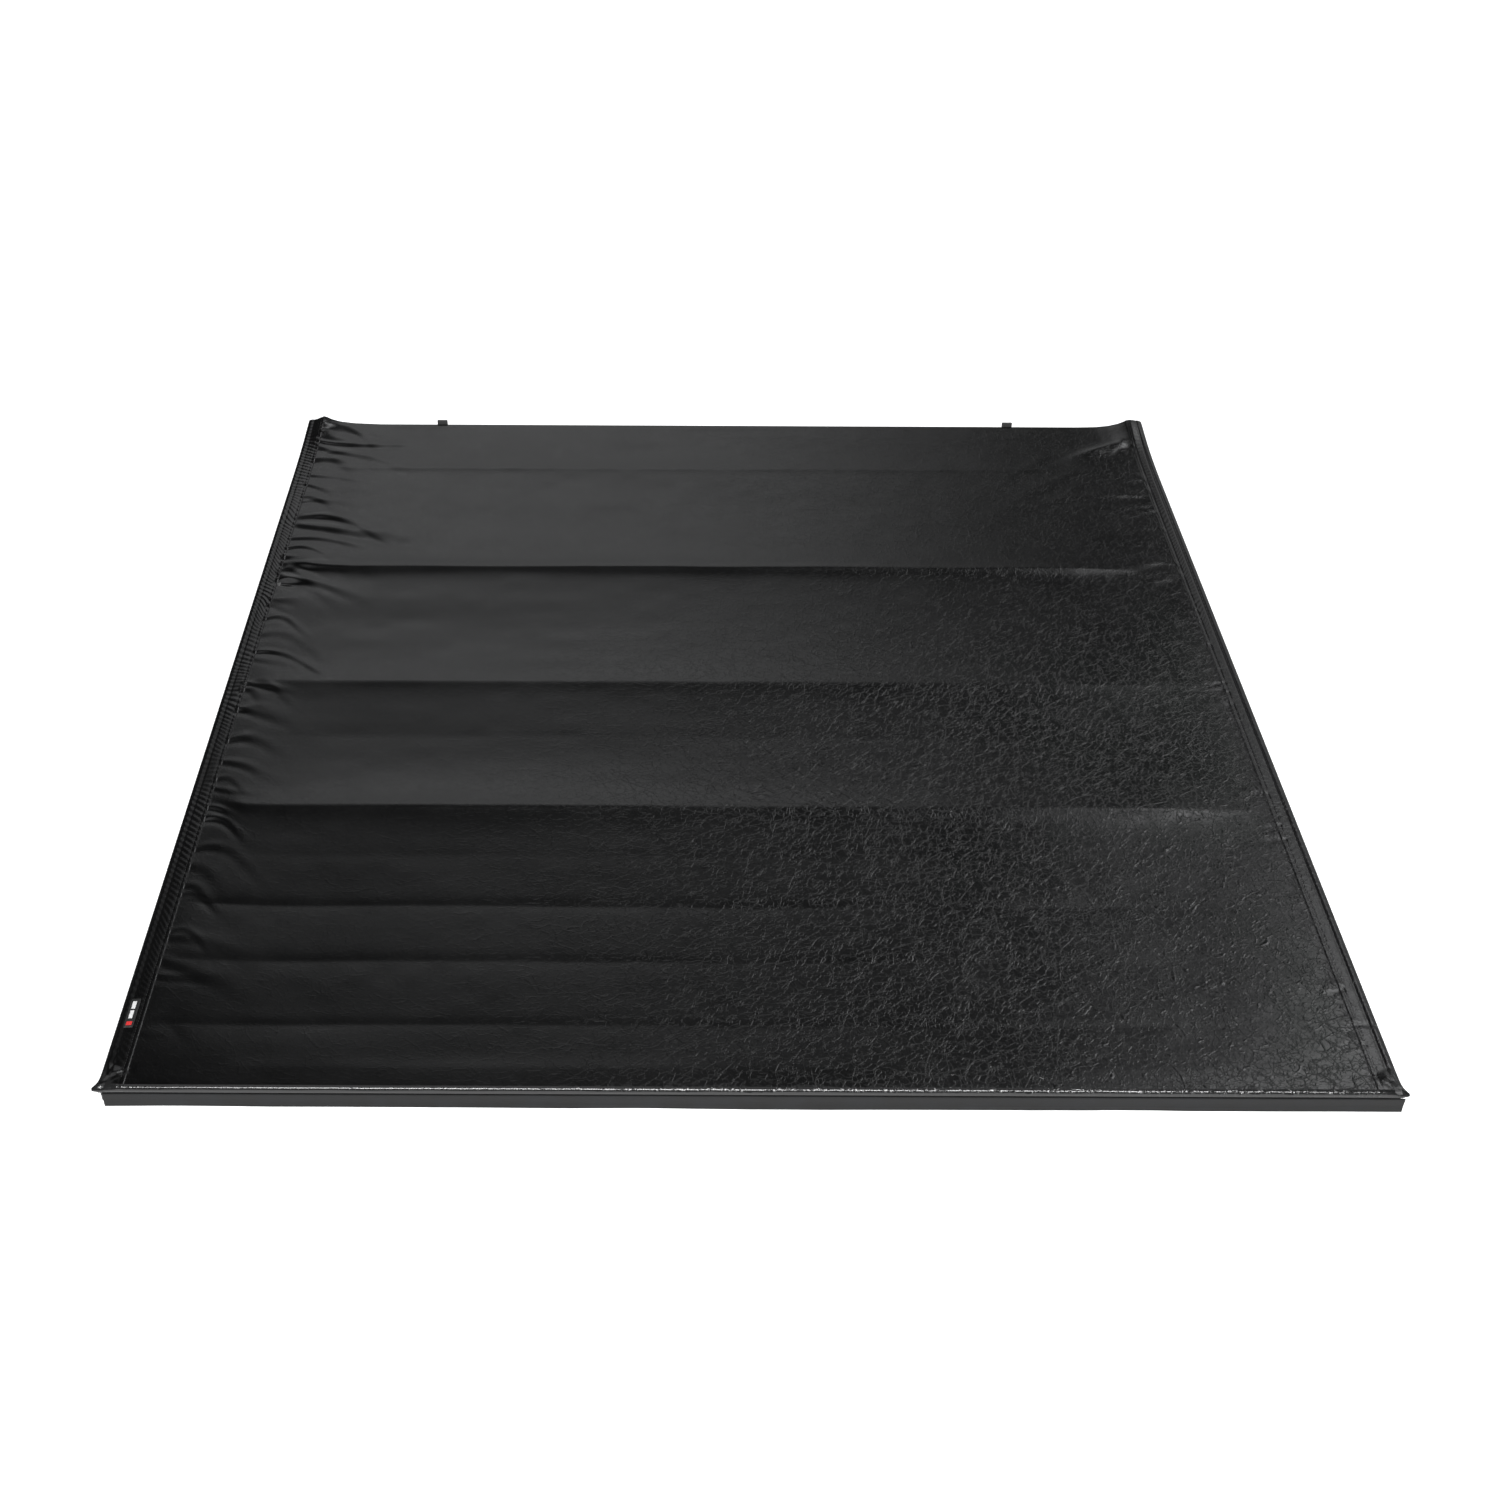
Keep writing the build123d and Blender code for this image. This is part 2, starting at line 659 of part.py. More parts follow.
# ---- latches ----
def latch_housing():
    """Left latch housing: a box on the bar's front face with a square hole for the bolt."""
    y_low = y_at(BAR_FRONT_T) + FIT_GAP
    y_high = y_at(LATCH_FRONT_T)
    x_low = left_x(LATCH_U)
    x_high = left_x(LATCH_U + LATCH_LENGTH)
    body = block((x_low, x_high), (y_low, y_high), (LATCH_BOTTOM_Z, LATCH_TOP_Z))
    body -= block(
        (x_low + LATCH_WALL, x_high - LATCH_WALL),
        (y_low + LATCH_WALL, y_high - LATCH_WALL),
        (LATCH_BOTTOM_Z + LATCH_WALL, LATCH_TOP_Z - LATCH_WALL),
    )
    opening = BOLT_SIZE / 2 + BOLT_CLEARANCE
    body -= block(
        (x_low - 1, x_low + LATCH_WALL + 1),
        (y_at(BOLT_T) - opening, y_at(BOLT_T) + opening),
        (BOLT_Z - opening, BOLT_Z + opening),
    )
    body -= rod_x(x_high - LATCH_WALL - 1, x_high + 1, y_at(BOLT_T), BOLT_Z, STEM_RADIUS + BOLT_CLEARANCE)
    return body


def latch_bolt():
    """Left latch bolt: square, with a sloped nose that rides over the rail's edge, and a stem."""
    half = BOLT_SIZE / 2
    tip = left_x(BOLT_TIP_U)
    back = tip + BOLT_LENGTH
    side = outline([
        (tip, BOLT_Z + half),
        (tip, BOLT_Z),
        (tip + half, BOLT_Z - half),
        (back, BOLT_Z - half),
        (back, BOLT_Z + half),
    ])
    body = along_y(side, y_at(BOLT_T) - half, y_at(BOLT_T) + half)
    return body + rod_x(back, back + STEM_LENGTH, y_at(BOLT_T), BOLT_Z, STEM_RADIUS)


def latch_spring():
    """Left latch spring, squeezed between the bolt's back and the housing's inner wall."""
    start = left_x(BOLT_TIP_U + BOLT_LENGTH) + SPRING_WIRE + FIT_GAP
    end = left_x(LATCH_U + LATCH_LENGTH - LATCH_WALL) - SPRING_WIRE - FIT_GAP
    length = end - start
    path = Helix(pitch=length / SPRING_TURNS, height=length, radius=SPRING_RADIUS)
    wire = sweep(Plane(origin=path @ 0, z_dir=path % 0) * Circle(SPRING_WIRE), path=path)
    return Pos(start, y_at(BOLT_T), BOLT_Z) * Rot(0, 90, 0) * wire


def latches():
    """Both latches: housings, bolts and springs."""
    bolt = latch_bolt()
    housing = latch_housing()
    spring = latch_spring()
    return {
        "latch_housings": [housing, mirrored(housing)],
        "latch_bolt_left": [bolt],
        "latch_bolt_right": [mirrored(bolt)],
        "latch_springs": [spring, mirrored(spring)],
    }


# ---- release ----
def release_lever():
    """Drum that winds both cables, with the finger lever below it."""
    y = y_at(LEVER_T)
    drum = rod_z(0, y, DRUM_BOTTOM_Z, DRUM_TOP_Z, DRUM_RADIUS)
    hub = rod_z(0, y, LEVER_BOTTOM_Z, DRUM_BOTTOM_Z, LEVER_WIDTH / 2)
    arm = block(
        (0, LEVER_ARM),
        (y - LEVER_WIDTH / 2, y + LEVER_WIDTH / 2),
        (LEVER_BOTTOM_Z, DRUM_BOTTOM_Z - 1),
    )
    tip = rod_z(LEVER_ARM, y, LEVER_BOTTOM_Z, DRUM_BOTTOM_Z - 1, LEVER_WIDTH / 2)
    lever = drum + hub + arm + tip
    return lever - rod_z(0, y, LEVER_BOTTOM_Z - 1, DRUM_TOP_Z + 1, PIVOT_RADIUS + PIVOT_CLEARANCE)


def release_bracket():
    """Plate on the bar's front face that carries the lever's pivot."""
    y_low = y_at(BAR_FRONT_T) + FIT_GAP
    plate = block(
        (-BRACKET_HALF_WIDTH, BRACKET_HALF_WIDTH),
        (y_low, y_at(LATCH_FRONT_T)),
        (BRACKET_BOTTOM_Z, BRACKET_BOTTOM_Z + BRACKET_PLATE),
    )
    pivot = rod_z(0, y_at(LEVER_T), LEVER_BOTTOM_Z, BRACKET_BOTTOM_Z, PIVOT_RADIUS)
    return plate + pivot


def release_cable(wire_offset):
    """Left cable: a sheath from the latch to beside the drum, and the bare wire to the drum's side.
    wire_offset is +1 for a wire on the drum's front side and -1 for one on its rear side."""
    start = Vector(left_x(LATCH_U + LATCH_LENGTH) + FIT_GAP, y_at(BOLT_T), BOLT_Z)
    wire_y = y_at(LEVER_T) + wire_offset * (DRUM_RADIUS + WIRE_RADIUS + FIT_GAP)
    end = Vector(-CABLE_END_X, wire_y, BOLT_Z)
    path = Spline(start, end, tangents=[(1, 0, 0), (1, 0, 0)])
    sheath = sweep(Plane(origin=start, z_dir=(1, 0, 0)) * Circle(CABLE_RADIUS), path=path)
    wire = rod_x(-CABLE_END_X, 0, wire_y, BOLT_Z, WIRE_RADIUS)
    return sheath + wire


def release():
    """Release lever, its bracket and both cables."""
    return {
        "release_lever": [release_lever()],
        "release_bracket": [release_bracket()],
        "release_cables": [release_cable(1), mirrored(release_cable(-1))],
    }


# ---- bed clamps ----
def clamp_frame(y):
    """Left clamp frame: it hangs on the rail's lip and carries the clamp screw."""
    y_range = (y - CLAMP_WIDTH / 2, y + CLAMP_WIDTH / 2)
    hook_u = bracket_u() + 0.4
    x_hook = left_x(hook_u)
    x_back = left_x(CLAMP_BACK_U)
    x_spine = left_x(CLAMP_BACK_U - CLAMP_SPINE)
    hook_bottom = RAIL_LEG_BOTTOM_Z + RAIL_WALL + FIT_GAP
    side = outline([
        (x_hook, CLAMP_ARM_TOP_Z),
        (x_back, CLAMP_ARM_TOP_Z),
        (x_back, CLAMP_FOOT_BOTTOM_Z),
        (x_hook, CLAMP_FOOT_BOTTOM_Z),
        (x_hook, CLAMP_FOOT_TOP_Z),
        (x_spine, CLAMP_FOOT_TOP_Z),
        (x_spine, CLAMP_ARM_BOTTOM_Z),
        (x_hook + CLAMP_HOOK_WIDTH, CLAMP_ARM_BOTTOM_Z),
        (x_hook + CLAMP_HOOK_WIDTH, hook_bottom),
        (x_hook, hook_bottom),
    ])
    body = along_y(side, *y_range)
    hole_radius = CLAMP_SCREW_RADIUS + CLAMP_SCREW_CLEARANCE
    x = left_x(CLAMP_SCREW_U)
    return body - rod_z(x, y, CLAMP_FOOT_BOTTOM_Z - 1, CLAMP_ARM_TOP_Z - BRACKET_PLATE, hole_radius)


def clamp_screw(y):
    """Left clamp screw: a hexagon head below the frame's foot and a plain shank."""
    x = left_x(CLAMP_SCREW_U)
    top = CLAMP_ARM_TOP_Z - BRACKET_PLATE - FIT_GAP
    bearing = CLAMP_FOOT_BOTTOM_Z - FIT_GAP
    shank = rod_z(x, y, bearing, top, CLAMP_SCREW_RADIUS)
    hexagon = extrude(RegularPolygon(CLAMP_HEAD_RADIUS, 6), amount=CLAMP_HEAD_HEIGHT, dir=(0, 0, -1))
    return shank + Pos(x, y, bearing) * hexagon


def clamp_jaw(y):
    """Left clamp jaw: a block on the screw with a toe that bears up on the bed's flange."""
    jaw_back_u = CLAMP_BACK_U - CLAMP_SPINE - 0.5
    side = outline([
        (left_x(JAW_TOE_U), JAW_TOP_Z - JAW_HEIGHT),
        (left_x(jaw_back_u), JAW_TOP_Z - JAW_HEIGHT),
        (left_x(jaw_back_u), JAW_TOP_Z),
        (left_x(JAW_TOE_U + JAW_TOE_WIDTH), JAW_TOP_Z),
        (left_x(JAW_TOE_U + JAW_TOE_WIDTH), JAW_TOP_Z + JAW_TOE_RISE),
        (left_x(JAW_TOE_U), JAW_TOP_Z + JAW_TOE_RISE),
    ])
    body = along_y(side, y - CLAMP_WIDTH / 2, y + CLAMP_WIDTH / 2)
    hole_radius = CLAMP_SCREW_RADIUS + CLAMP_SCREW_CLEARANCE
    x = left_x(CLAMP_SCREW_U)
    return body - rod_z(x, y, JAW_TOP_Z - JAW_HEIGHT - 1, JAW_TOP_Z + JAW_TOE_RISE + 1, hole_radius)


def bed_clamps():
    """Two clamps on each side."""
    parts = {"clamp_frames": []}
    for place, t in zip(("rear", "front"), CLAMP_TS):
        y = y_at(t)
        frame = clamp_frame(y)
        parts["clamp_frames"] += [frame, mirrored(frame)]
        parts[f"clamp_screw_left_{place}"] = [clamp_screw(y)]
        parts[f"clamp_screw_right_{place}"] = [mirrored(clamp_screw(y))]
        parts[f"clamp_jaw_left_{place}"] = [clamp_jaw(y)]
        parts[f"clamp_jaw_right_{place}"] = [mirrored(clamp_jaw(y))]
    return parts


# ---- storage straps ----
def buckle(x, y, z_top):
    """A flat buckle that hangs from a strap, with the slot that takes the strap's end."""
    body = block(
        (x - BUCKLE_WIDTH / 2, x + BUCKLE_WIDTH / 2),
        (y - BUCKLE_THICKNESS / 2, y + BUCKLE_THICKNESS / 2),
        (z_top - BUCKLE_HEIGHT, z_top),
    )
    slot = block(
        (x - STRAP_WIDTH / 2 - 1, x + STRAP_WIDTH / 2 + 1),
        (y - STRAP_THICKNESS / 2 - FIT_GAP, y + STRAP_THICKNESS / 2 + FIT_GAP),
        (z_top - BUCKLE_GRIP - FIT_GAP, z_top + 1),
    )
    return body - slot


def storage_straps():
    """Front straps that loop up over the front edge, rear straps that hang behind the header,
    and a buckle on the free end of each."""
    half = HEADER_DEPTH / 2
    rear_leg_y = FRONT_EDGE_Y + FIT_GAP
    gap_end_y = rear_leg_y + STRAP_THICKNESS + STRAP_LEG_GAP
    front_leg_y = gap_end_y + STRAP_THICKNESS
    turn_z = SKIN_TOP_Z + STRAP_LOOP_RISE - STRAP_THICKNESS - STRAP_LEG_GAP / 2
    foot_z = STRAP_SCREW_Z - SCREW_HEAD_RADIUS
    jog_z = FRONT_LEG_BOTTOM_Z - 2 * FIT_GAP
    front_end_z = foot_z + BUCKLE_GRIP
    middle_y = (rear_leg_y + front_leg_y) / 2
    outer = (front_leg_y - rear_leg_y) / 2
    inner = STRAP_LEG_GAP / 2
    side = make_face([
        Polyline(
            (rear_leg_y, turn_z),
            (rear_leg_y, jog_z),
            (half + FIT_GAP, jog_z),
            (half + FIT_GAP, foot_z),
            (half + FIT_GAP + STRAP_THICKNESS, foot_z),
            (half + FIT_GAP + STRAP_THICKNESS, jog_z - STRAP_THICKNESS),
            (rear_leg_y + STRAP_THICKNESS, jog_z - STRAP_THICKNESS),
            (rear_leg_y + STRAP_THICKNESS, turn_z),
        ),
        ThreePointArc(
            (rear_leg_y + STRAP_THICKNESS, turn_z),
            (middle_y, turn_z + inner),
            (gap_end_y, turn_z),
        ),
        Polyline(
            (gap_end_y, turn_z),
            (gap_end_y, front_end_z),
            (front_leg_y, front_end_z),
            (front_leg_y, turn_z),
        ),
        ThreePointArc(
            (front_leg_y, turn_z),
            (middle_y, turn_z + outer),
            (rear_leg_y, turn_z),
        ),
    ])
    straps = []
    buckles = []
    rear_y = (-half - FIT_GAP - STRAP_THICKNESS, -half - FIT_GAP)
    rear_top_z = STRAP_SCREW_Z + SCREW_HEAD_RADIUS
    for x in (-STRAP_X, STRAP_X):
        low = x - STRAP_WIDTH / 2
        high = x + STRAP_WIDTH / 2
        front = along_x(side, low, high)
        front -= rod_y(x, half, half + STRAP_THICKNESS + 1, STRAP_SCREW_Z, SCREW_HOLE_RADIUS)
        rear = block((low, high), rear_y, (STRAP_REAR_BOTTOM_Z, rear_top_z))
        rear -= rod_y(x, rear_y[0] - 1, rear_y[1] + 1, STRAP_SCREW_Z, SCREW_HOLE_RADIUS)
        straps += [front, rear]
        buckles.append(buckle(x, (gap_end_y + front_leg_y) / 2, front_end_z + BUCKLE_GRIP))
        buckles.append(buckle(x, sum(rear_y) / 2, STRAP_REAR_BOTTOM_Z + BUCKLE_GRIP))
    return {"storage_straps": straps, "strap_buckles": buckles}


# ---- label ----
def hem_label():
    """A small plain label on the left hem, near the tail corner."""
    base_z = SKIN_TOP_Z + HEM_RISE + FIT_GAP
    face = Rectangle(LABEL_WIDTH, LABEL_LENGTH)
    face = fillet(face.vertices(), LABEL_CORNER)
    plate = extrude(face, amount=LABEL_THICKNESS, dir=(0, 0, 1))
    x = left_x(LABEL_U + LABEL_WIDTH / 2)
    y = y_at(LABEL_START_T + LABEL_LENGTH / 2)
    return {"hem_label": [Pos(x, y, base_z) * plate]}


# ---- output ----
def all_parts():
    parts = {}
    sections = (
        skin_panels, loop_strips, header, side_rails, corner_brackets, bows,
        rear_bar, latches, release, bed_clamps, storage_straps, hem_label,
    )
    for section in sections:
        parts.update(section())
    return parts


os.makedirs("parts", exist_ok=True)
for node, solids in all_parts().items():
    shape = solids[0] if len(solids) == 1 else Compound(children=solids)
    export_step(shape, f"parts/{node}.step")
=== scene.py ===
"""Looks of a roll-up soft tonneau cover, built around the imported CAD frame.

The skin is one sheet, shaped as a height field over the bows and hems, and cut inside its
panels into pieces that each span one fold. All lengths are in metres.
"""

import json
import math
from functools import reduce

import bpy
import numpy as np
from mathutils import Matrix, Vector


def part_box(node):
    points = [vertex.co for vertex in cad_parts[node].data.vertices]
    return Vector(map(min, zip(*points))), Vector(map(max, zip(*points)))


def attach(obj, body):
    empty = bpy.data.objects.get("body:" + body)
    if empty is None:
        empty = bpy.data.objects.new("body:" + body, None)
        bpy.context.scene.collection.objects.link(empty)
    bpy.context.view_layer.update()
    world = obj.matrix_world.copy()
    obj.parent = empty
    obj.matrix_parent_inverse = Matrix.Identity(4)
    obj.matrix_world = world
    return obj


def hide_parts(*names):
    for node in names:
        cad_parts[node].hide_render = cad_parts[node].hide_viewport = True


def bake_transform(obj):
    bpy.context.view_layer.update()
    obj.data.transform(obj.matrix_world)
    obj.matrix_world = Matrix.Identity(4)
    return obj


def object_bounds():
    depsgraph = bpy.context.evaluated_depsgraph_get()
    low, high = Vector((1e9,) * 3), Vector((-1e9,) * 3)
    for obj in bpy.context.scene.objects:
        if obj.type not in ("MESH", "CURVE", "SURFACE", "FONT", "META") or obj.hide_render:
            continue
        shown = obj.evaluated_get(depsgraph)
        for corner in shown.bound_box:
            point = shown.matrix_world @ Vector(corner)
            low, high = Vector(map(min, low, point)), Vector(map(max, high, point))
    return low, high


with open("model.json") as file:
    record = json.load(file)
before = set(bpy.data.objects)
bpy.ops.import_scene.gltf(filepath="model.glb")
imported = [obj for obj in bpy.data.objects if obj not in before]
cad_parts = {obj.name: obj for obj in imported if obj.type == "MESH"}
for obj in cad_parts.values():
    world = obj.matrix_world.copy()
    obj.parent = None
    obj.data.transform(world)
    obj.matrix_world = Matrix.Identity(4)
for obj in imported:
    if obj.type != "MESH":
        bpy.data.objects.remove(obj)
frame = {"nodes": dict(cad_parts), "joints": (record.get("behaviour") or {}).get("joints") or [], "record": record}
CAD_LOW, CAD_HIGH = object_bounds()
NODES = frame["nodes"]
JOINTS = {joint["name"]: joint for joint in frame["joints"]}

MM = 0.001

# ---- places, all read from the frame ----
PANEL_COUNT = 9
TAIL_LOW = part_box("cover_panel_1")[0]
FLAT_LOW, FLAT_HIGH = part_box("cover_panel_5")
FRONT_LOW, FRONT_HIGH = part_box("cover_front_panel")
TAIL_Y = TAIL_LOW.y
FRONT_Y = FRONT_HIGH.y
HALF_WIDTH = FLAT_HIGH.x
SKIN_LOW_Z = FLAT_LOW.z
LENGTH = FRONT_Y - TAIL_Y
FOLD_NAMES = [f"fold_{k}" for k in range(1, PANEL_COUNT)] + ["roll_up"]
FOLDS = [JOINTS[name]["pos_m"][1] - TAIL_Y for name in FOLD_NAMES]
BOWS = [sum(corner.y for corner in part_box(f"bow_{k}")) / 2 - TAIL_Y for k in range(1, 5)]

# ---- skin ----
SKIN_THICKNESS = 1.2 * MM
SKIN_TOP_Z = SKIN_LOW_Z + SKIN_THICKNESS
TAIL_RADIUS = 7 * MM
FRONT_RADIUS = 4 * MM
TONGUE = 3.5 * MM
HEM_WIDTH = 33 * MM
HEM_RISE = 0.8 * MM
SEAM_INSET = 5.5 * MM
EDGE_ROUND = 1.6 * MM
ROW_STEP = 3.2 * MM
BLEND_HALF = 15 * MM

rng = np.random.default_rng(7)


# ---- small maths ----
def ease(low, high, value):
    """0 below low, 1 above high, smooth between them."""
    share = np.clip((value - low) / (high - low), 0, 1)
    return share * share * (3 - 2 * share)


def noise(a, b, seed):
    """Smooth random field between -1 and 1, with one lattice cell per unit of a and b."""
    size = 64
    lattice = np.random.default_rng(seed).uniform(-1, 1, (size, size))
    a, b = np.broadcast_arrays(a, b)
    i, j = np.floor(a).astype(int), np.floor(b).astype(int)
    fa, fb = a - i, b - j
    fa, fb = fa * fa * (3 - 2 * fa), fb * fb * (3 - 2 * fb)
    i0, i1, j0, j1 = i % size, (i + 1) % size, j % size, (j + 1) % size
    near = lattice[i0, j0] * (1 - fa) + lattice[i1, j0] * fa
    far = lattice[i0, j1] * (1 - fa) + lattice[i1, j1] * fa
    return near * (1 - fb) + far * fb


def bell(distance, width):
    """A smooth hump: 1 at distance 0, about a third at one width."""
    return np.exp(-((distance / width) ** 2))


def crest(distance, radius, far, near):
    """A rounded crest, 1 at distance 0, that fades over far on the cab side and near on the tail side."""
    fade = np.where(distance > 0, far, near)
    return np.exp(-(np.sqrt(distance**2 + radius**2) - radius) / fade)


# ---- shape of the skin's top ----
# one row per bow, in mm: height, crest radius, fade towards the cab, fade towards the tail
RIDGES = (
    (3.6, 3.0, 40.0, 20.0),
    (1.3, 4.0, 22.0, 18.0),
    (3.8, 2.5, 30.0, 14.0),
    (0.45, 3.0, 14.0, 10.0),
)
# creases kept from storage: place in metres, then in mm depth, crease radius and the same two fades
CREASES = (
    (0.114, 1.6, 2.5, 7.0, 26.0),
    (0.234, 1.3, 3.0, 8.0, 28.0),
    (0.346, 1.5, 2.5, 7.0, 24.0),
    (0.450, 0.5, 6.0, 18.0, 18.0),
    (0.735, 0.6, 7.0, 20.0, 20.0),
)
# sag of each span between supports, as a share of its length
SAGS = (0.010, 0.012, 0.010, 0.0045, 0.004)
SAG_START = 36 * MM
SAG_END_GAP = 48 * MM


def sag(t):
    """The skin hangs a little between its supports."""
    supports = [SAG_START, *BOWS, LENGTH - SAG_END_GAP]
    drop = np.zeros_like(t)
    for low, high, depth in zip(supports, supports[1:], SAGS):
        share = np.clip((t - low) / (high - low), 0, 1)
        drop += depth * (high - low) * 4 * share * (1 - share)
    return -drop


def make_wrinkles(side, slant, groups):
    """Wrinkles that start at a hem: side, start, length, drift, bend, height and width of each."""
    made = []
    for centre, spread, count, reach, height in groups:
        for start in centre + spread * rng.uniform(-1, 1, count):
            length = reach * rng.uniform(0.45, 1.35)
            drift = rng.uniform(-0.10, 0.45) * length * slant
            bend = rng.uniform(-0.05, 0.20) * length
            rise = height * MM * rng.uniform(0.35, 1.15)
            width = rng.uniform(3.5, 7.5) * MM * (0.6 + 0.4 * reach / 0.12)
            made.append((side, start, length, drift, bend, rise, width))
    return made


# groups of wrinkles: centre, half spread, count, reach, height in mm
LEFT_WRINKLES = (
    (1.690, 0.040, 4, 0.170, 2.2),
    (1.600, 0.060, 5, 0.190, 2.0),
    (1.480, 0.050, 3, 0.130, 1.3),
    (1.350, 0.050, 4, 0.200, 2.2),
    (1.240, 0.040, 6, 0.110, 2.0),
    (1.190, 0.030, 3, 0.170, 2.2),
    (1.080, 0.060, 3, 0.100, 1.3),
    (0.960, 0.050, 3, 0.140, 1.3),
    (0.890, 0.040, 5, 0.100, 1.4),
    (0.760, 0.060, 3, 0.110, 1.0),
    (0.650, 0.050, 3, 0.120, 1.0),
    (0.560, 0.045, 5, 0.090, 1.2),
    (0.420, 0.070, 4, 0.120, 0.9),
    (0.290, 0.060, 3, 0.130, 0.8),
    (0.150, 0.060, 3, 0.100, 0.6),
)
RIGHT_WRINKLES = (
    (1.650, 0.020, 2, 0.160, 0.9),
    (1.580, 0.050, 4, 0.300, 1.0),
    (1.500, 0.060, 5, 0.260, 0.9),
    (1.380, 0.060, 5, 0.160, 0.8),
    (1.235, 0.050, 5, 0.110, 0.7),
    (1.080, 0.090, 6, 0.060, 0.6),
    (0.880, 0.080, 5, 0.070, 0.9),
    (0.560, 0.090, 4, 0.060, 0.7),
    (0.200, 0.120, 5, 0.050, 0.6),
)
WRINKLES = make_wrinkles(-1, 1.0, LEFT_WRINKLES) + make_wrinkles(1, 0.4, RIGHT_WRINKLES)


def wrinkle_height(x, t):
    """Sum of the wrinkles that fan in from both hems."""
    total = np.zeros(np.broadcast(x, t).shape)
    for side, start, length, drift, bend, rise, width in WRINKLES:
        inward = HALF_WIDTH - side * x - HEM_WIDTH * 0.7
        share = np.clip(inward / length, 0, 1)
        path = start - drift * share**1.4 + bend * np.sin(share * math.pi * 1.6)
        across = (t - path) / (width * (1 + 1.6 * share))
        uneven = 1 + 0.5 * noise(inward * 35, 0 * t + start * 50, 17)
        strength = ease(0, 0.10, share) * (1 - share) ** 1.2 * uneven
        shape = bell(across, 1) - 0.75 * bell(across + 1.7, 1)
        total += rise * strength * shape
    return total


RIDGE_SET_BACK = 4 * MM
RIDGE_BEND = 26 * MM
RIDGE_BEND_WIDTH = 60 * MM


def ridge_height(x, t):
    """The bows' ridges, which bend towards the cab near the left hem, and the storage creases."""
    left = HALF_WIDTH + x
    right = HALF_WIDTH - x
    body = ease(0.030, 0.085, left) * ease(0.030, 0.240, right)
    wander = 2.0 * MM * noise(x * 6, t * 0 + 3.3, 11)
    total = np.zeros(np.broadcast(x, t).shape)
    for bow, (rise, radius, far, near) in zip(BOWS, RIDGES):
        path = bow - RIDGE_SET_BACK + RIDGE_BEND * bell(left, RIDGE_BEND_WIDTH) + wander * 0.5
        level = 1 + 0.18 * noise(x * 5, t * 0 + bow * 9, 12)
        total += rise * MM * level * body * crest(t - path, radius * MM, far * MM, near * MM)
    body = ease(0.030, 0.085, left) * ease(0.120, 0.620, right)
    for place, depth, radius, far, near in CREASES:
        path = place + wander
        level = 0.75 + 0.45 * noise(x * 4, t * 0 + place * 31, 13)
        total -= depth * MM * level * body * crest(t - path, radius * MM, far * MM, near * MM)
    return total


PUCKER_PITCH = 11 * MM
PUCKER_SLANT = 16 * MM
PUCKER_INSIDE = (1.5 * MM, 6 * MM)
HEM_STEP_HALF = 0.8 * MM
HEM_ROLL_PLACE = 6 * MM
HEM_LIP_PLACE = 11.5 * MM


def hem_height(x, t):
    """The doubled band along each side: a step, its rounded outer edge and the puckers of its seam."""
    outer = HALF_WIDTH - np.abs(x)
    band = 1 - ease(HEM_WIDTH - HEM_STEP_HALF, HEM_WIDTH + HEM_STEP_HALF, outer)
    left = x < 0
    slant = t / PUCKER_PITCH + outer / PUCKER_SLANT + 1.6 * noise(t * 14, outer * 30, 21)
    fold = np.abs(np.sin(slant * math.pi)) ** 0.7 - 0.6
    gathered = 0.35 + 0.65 * ease(-0.2, 0.6, noise(t * 9, 0 * t, 22)) * ease(0.2, 0.9, t)
    pucker = np.where(left, 1.0, 0.25) * MM * fold * gathered * ease(*PUCKER_INSIDE, outer)
    seam = -0.5 * MM * bell(outer - HEM_WIDTH + SEAM_INSET, 1.0 * MM)
    roll = 0.7 * MM * bell(outer - HEM_ROLL_PLACE, 3.0 * MM) * np.where(left, 0.8, 1.0)
    lip = -0.5 * MM * bell(outer - HEM_LIP_PLACE, 1.2 * MM)
    fall = np.clip(1 - outer / HEM_WIDTH, 0, 1)
    crown = -MM * np.where(left, fall**2, 1.7 * fall)
    corner = np.clip(EDGE_ROUND - outer, 0, EDGE_ROUND)
    rounding = EDGE_ROUND - np.sqrt(np.maximum(EDGE_ROUND**2 - corner**2, 0))
    return band * (HEM_RISE + pucker + seam + roll + lip + crown) - rounding


# how far the cab corners curl up: metres from the outer edge, and height in mm
LEFT_CURL = (
    (0, 9.0), (0.016, 11.0), (0.030, 17.5), (0.036, 18.0),
    (0.044, 12.5), (0.062, 6.5), (0.090, 2.5), (0.145, 0.0),
)
RIGHT_CURL = (
    (0, 15.0), (0.010, 17.5), (0.026, 18.5), (0.034, 15.0),
    (0.045, 9.5), (0.065, 4.0), (0.090, 1.0), (0.130, 0.0),
)
CURL_DEPTH = 85 * MM
CURL_BLUR = np.array([-4, -2, 0, 2, 4]) * MM
CORNER_FOLD_START = 62 * MM
CORNER_FOLD_SLOPE = 0.48
CORNER_FOLD_RISE = 5 * MM


